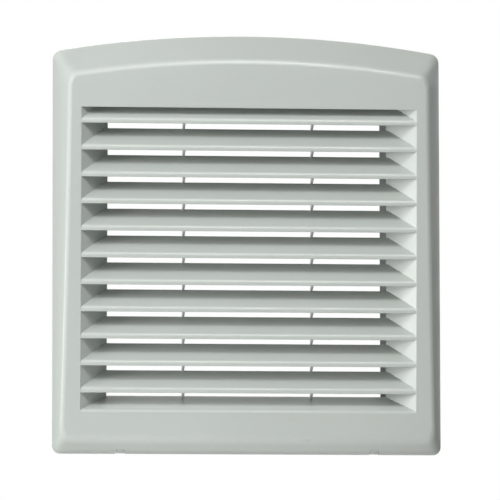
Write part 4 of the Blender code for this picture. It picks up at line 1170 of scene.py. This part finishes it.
class GRILLE_OT_stage(bpy.types.Operator):
    """Sets up the floor, the white surround, the lamps and the camera"""
    bl_idname = "grille.stage"
    bl_label = "Stage"

    def execute(self, context):
        scene, stage = context.scene, settings("stage")
        scene.view_settings.view_transform = "Standard"

        world = bpy.data.worlds.new("white_surround")
        scene.world = world
        world.use_nodes = True
        tree = world.node_tree
        tree.nodes.clear()
        room = add(tree, "ShaderNodeBackground",
                   {"Color": (1.0, 0.99, 0.97, 1.0), "Strength": stage.room})
        white = add(tree, "ShaderNodeBackground", {"Color": WHITE, "Strength": 1.0})
        add(tree, "ShaderNodeOutputWorld", {"Surface": seen_apart(tree, room, white)})

        mesh = bpy.data.meshes.new("floor")
        size, z = 6.0, stage.floor_height
        mesh.from_pydata([(-size, -size, z), (size, -size, z), (size, size, z), (-size, size, z)],
                         [], [(0, 1, 2, 3)])
        floor = linked("floor", mesh)
        material = bpy.data.materials.new("pale_floor")
        material.use_nodes = True
        tree = material.node_tree
        tree.nodes.clear()
        dull = add(tree, "ShaderNodeBsdfDiffuse", {"Color": (0.3, 0.3, 0.3, 1.0)})
        pale = add(tree, "ShaderNodeBsdfDiffuse", {"Color": (0.9, 0.9, 0.9, 1.0)})
        glow = add(tree, "ShaderNodeEmission", {"Color": WHITE, "Strength": 0.62})
        both = add(tree, "ShaderNodeAddShader", {0: pale.outputs[0], 1: glow.outputs[0]})
        add(tree, "ShaderNodeOutputMaterial", {"Surface": seen_apart(tree, dull, both)})
        mesh.materials.append(material)

        for name, azimuth, elevation, distance, width, power in LAMPS:
            a, e = math.radians(azimuth), math.radians(elevation)
            place = distance * Vector((math.sin(a) * math.cos(e), -math.cos(a) * math.cos(e),
                                       math.sin(e)))
            data = bpy.data.lights.new(name, "AREA")
            data.shape = "SQUARE"
            data.size = width
            data.energy = getattr(stage, power)
            data.color = (1.0, 1.0, 0.995)
            lamp = linked(name, data)
            lamp.location = place
            lamp.rotation_euler = (-place).to_track_quat("-Z", "Y").to_euler()
            lamp.visible_camera = False

        data = bpy.data.cameras.new("camera")
        data.sensor_width = 36.0
        data.lens = stage.focal * 1000.0
        data.shift_x, data.shift_y = stage.shift_x, stage.shift_y
        data.clip_end = 50.0
        camera = linked("camera", data)
        place, aim = Vector(stage.camera_place), Vector(stage.camera_aim)
        ahead = (aim - place).normalized()
        right = ahead.cross(Vector((0, 0, 1))).normalized()
        up = right.cross(ahead)
        roll = stage.camera_roll
        right, up = (right * math.cos(roll) + up * math.sin(roll),
                     up * math.cos(roll) - right * math.sin(roll))
        turn = Matrix((right, up, -ahead)).transposed().to_4x4()
        turn.translation = place
        camera.matrix_world = turn
        scene.camera = camera
        return {"FINISHED"}


class GRILLE_PT_panel(bpy.types.Panel):
    bl_label = "Ventilation grille"
    bl_idname = "GRILLE_PT_panel"
    bl_space_type = "VIEW_3D"
    bl_region_type = "UI"
    bl_category = "Grille"

    def draw(self, context):
        for group in GROUPS:
            box = self.layout.box()
            box.label(text=group.replace("_", " ").capitalize())
            values = settings(group)
            for key in values.__annotations__:
                box.prop(values, key)
        for operator in OPERATORS:
            self.layout.operator(operator.bl_idname)


GROUPS = {
    "cover": GrilleCover,
    "louvres": GrilleLouvres,
    "fittings": GrilleFittings,
    "finishes": GrilleFinishes,
    "stage": GrilleStage,
}
OPERATORS = (
    GRILLE_OT_cover_shell,
    GRILLE_OT_blades,
    GRILLE_OT_webs,
    GRILLE_OT_tongues,
    GRILLE_OT_knuckles,
    GRILLE_OT_screws,
    GRILLE_OT_nuts,
    GRILLE_OT_clips,
    GRILLE_OT_base,
    GRILLE_OT_stage,
)


def register():
    for cls in (*GROUPS.values(), *OPERATORS, GRILLE_PT_panel):
        bpy.utils.register_class(cls)
    for name, group in GROUPS.items():
        setattr(bpy.types.Scene, "grille_" + name, PointerProperty(type=group))


def unregister():
    for name in GROUPS:
        delattr(bpy.types.Scene, "grille_" + name)
    for cls in (GRILLE_PT_panel, *reversed(OPERATORS), *reversed(GROUPS.values())):
        bpy.utils.unregister_class(cls)


def main():
    register()
    for operator in OPERATORS:
        family, name = operator.bl_idname.split(".")
        getattr(getattr(bpy.ops, family), name)()


if __name__ == "__main__":
    main()
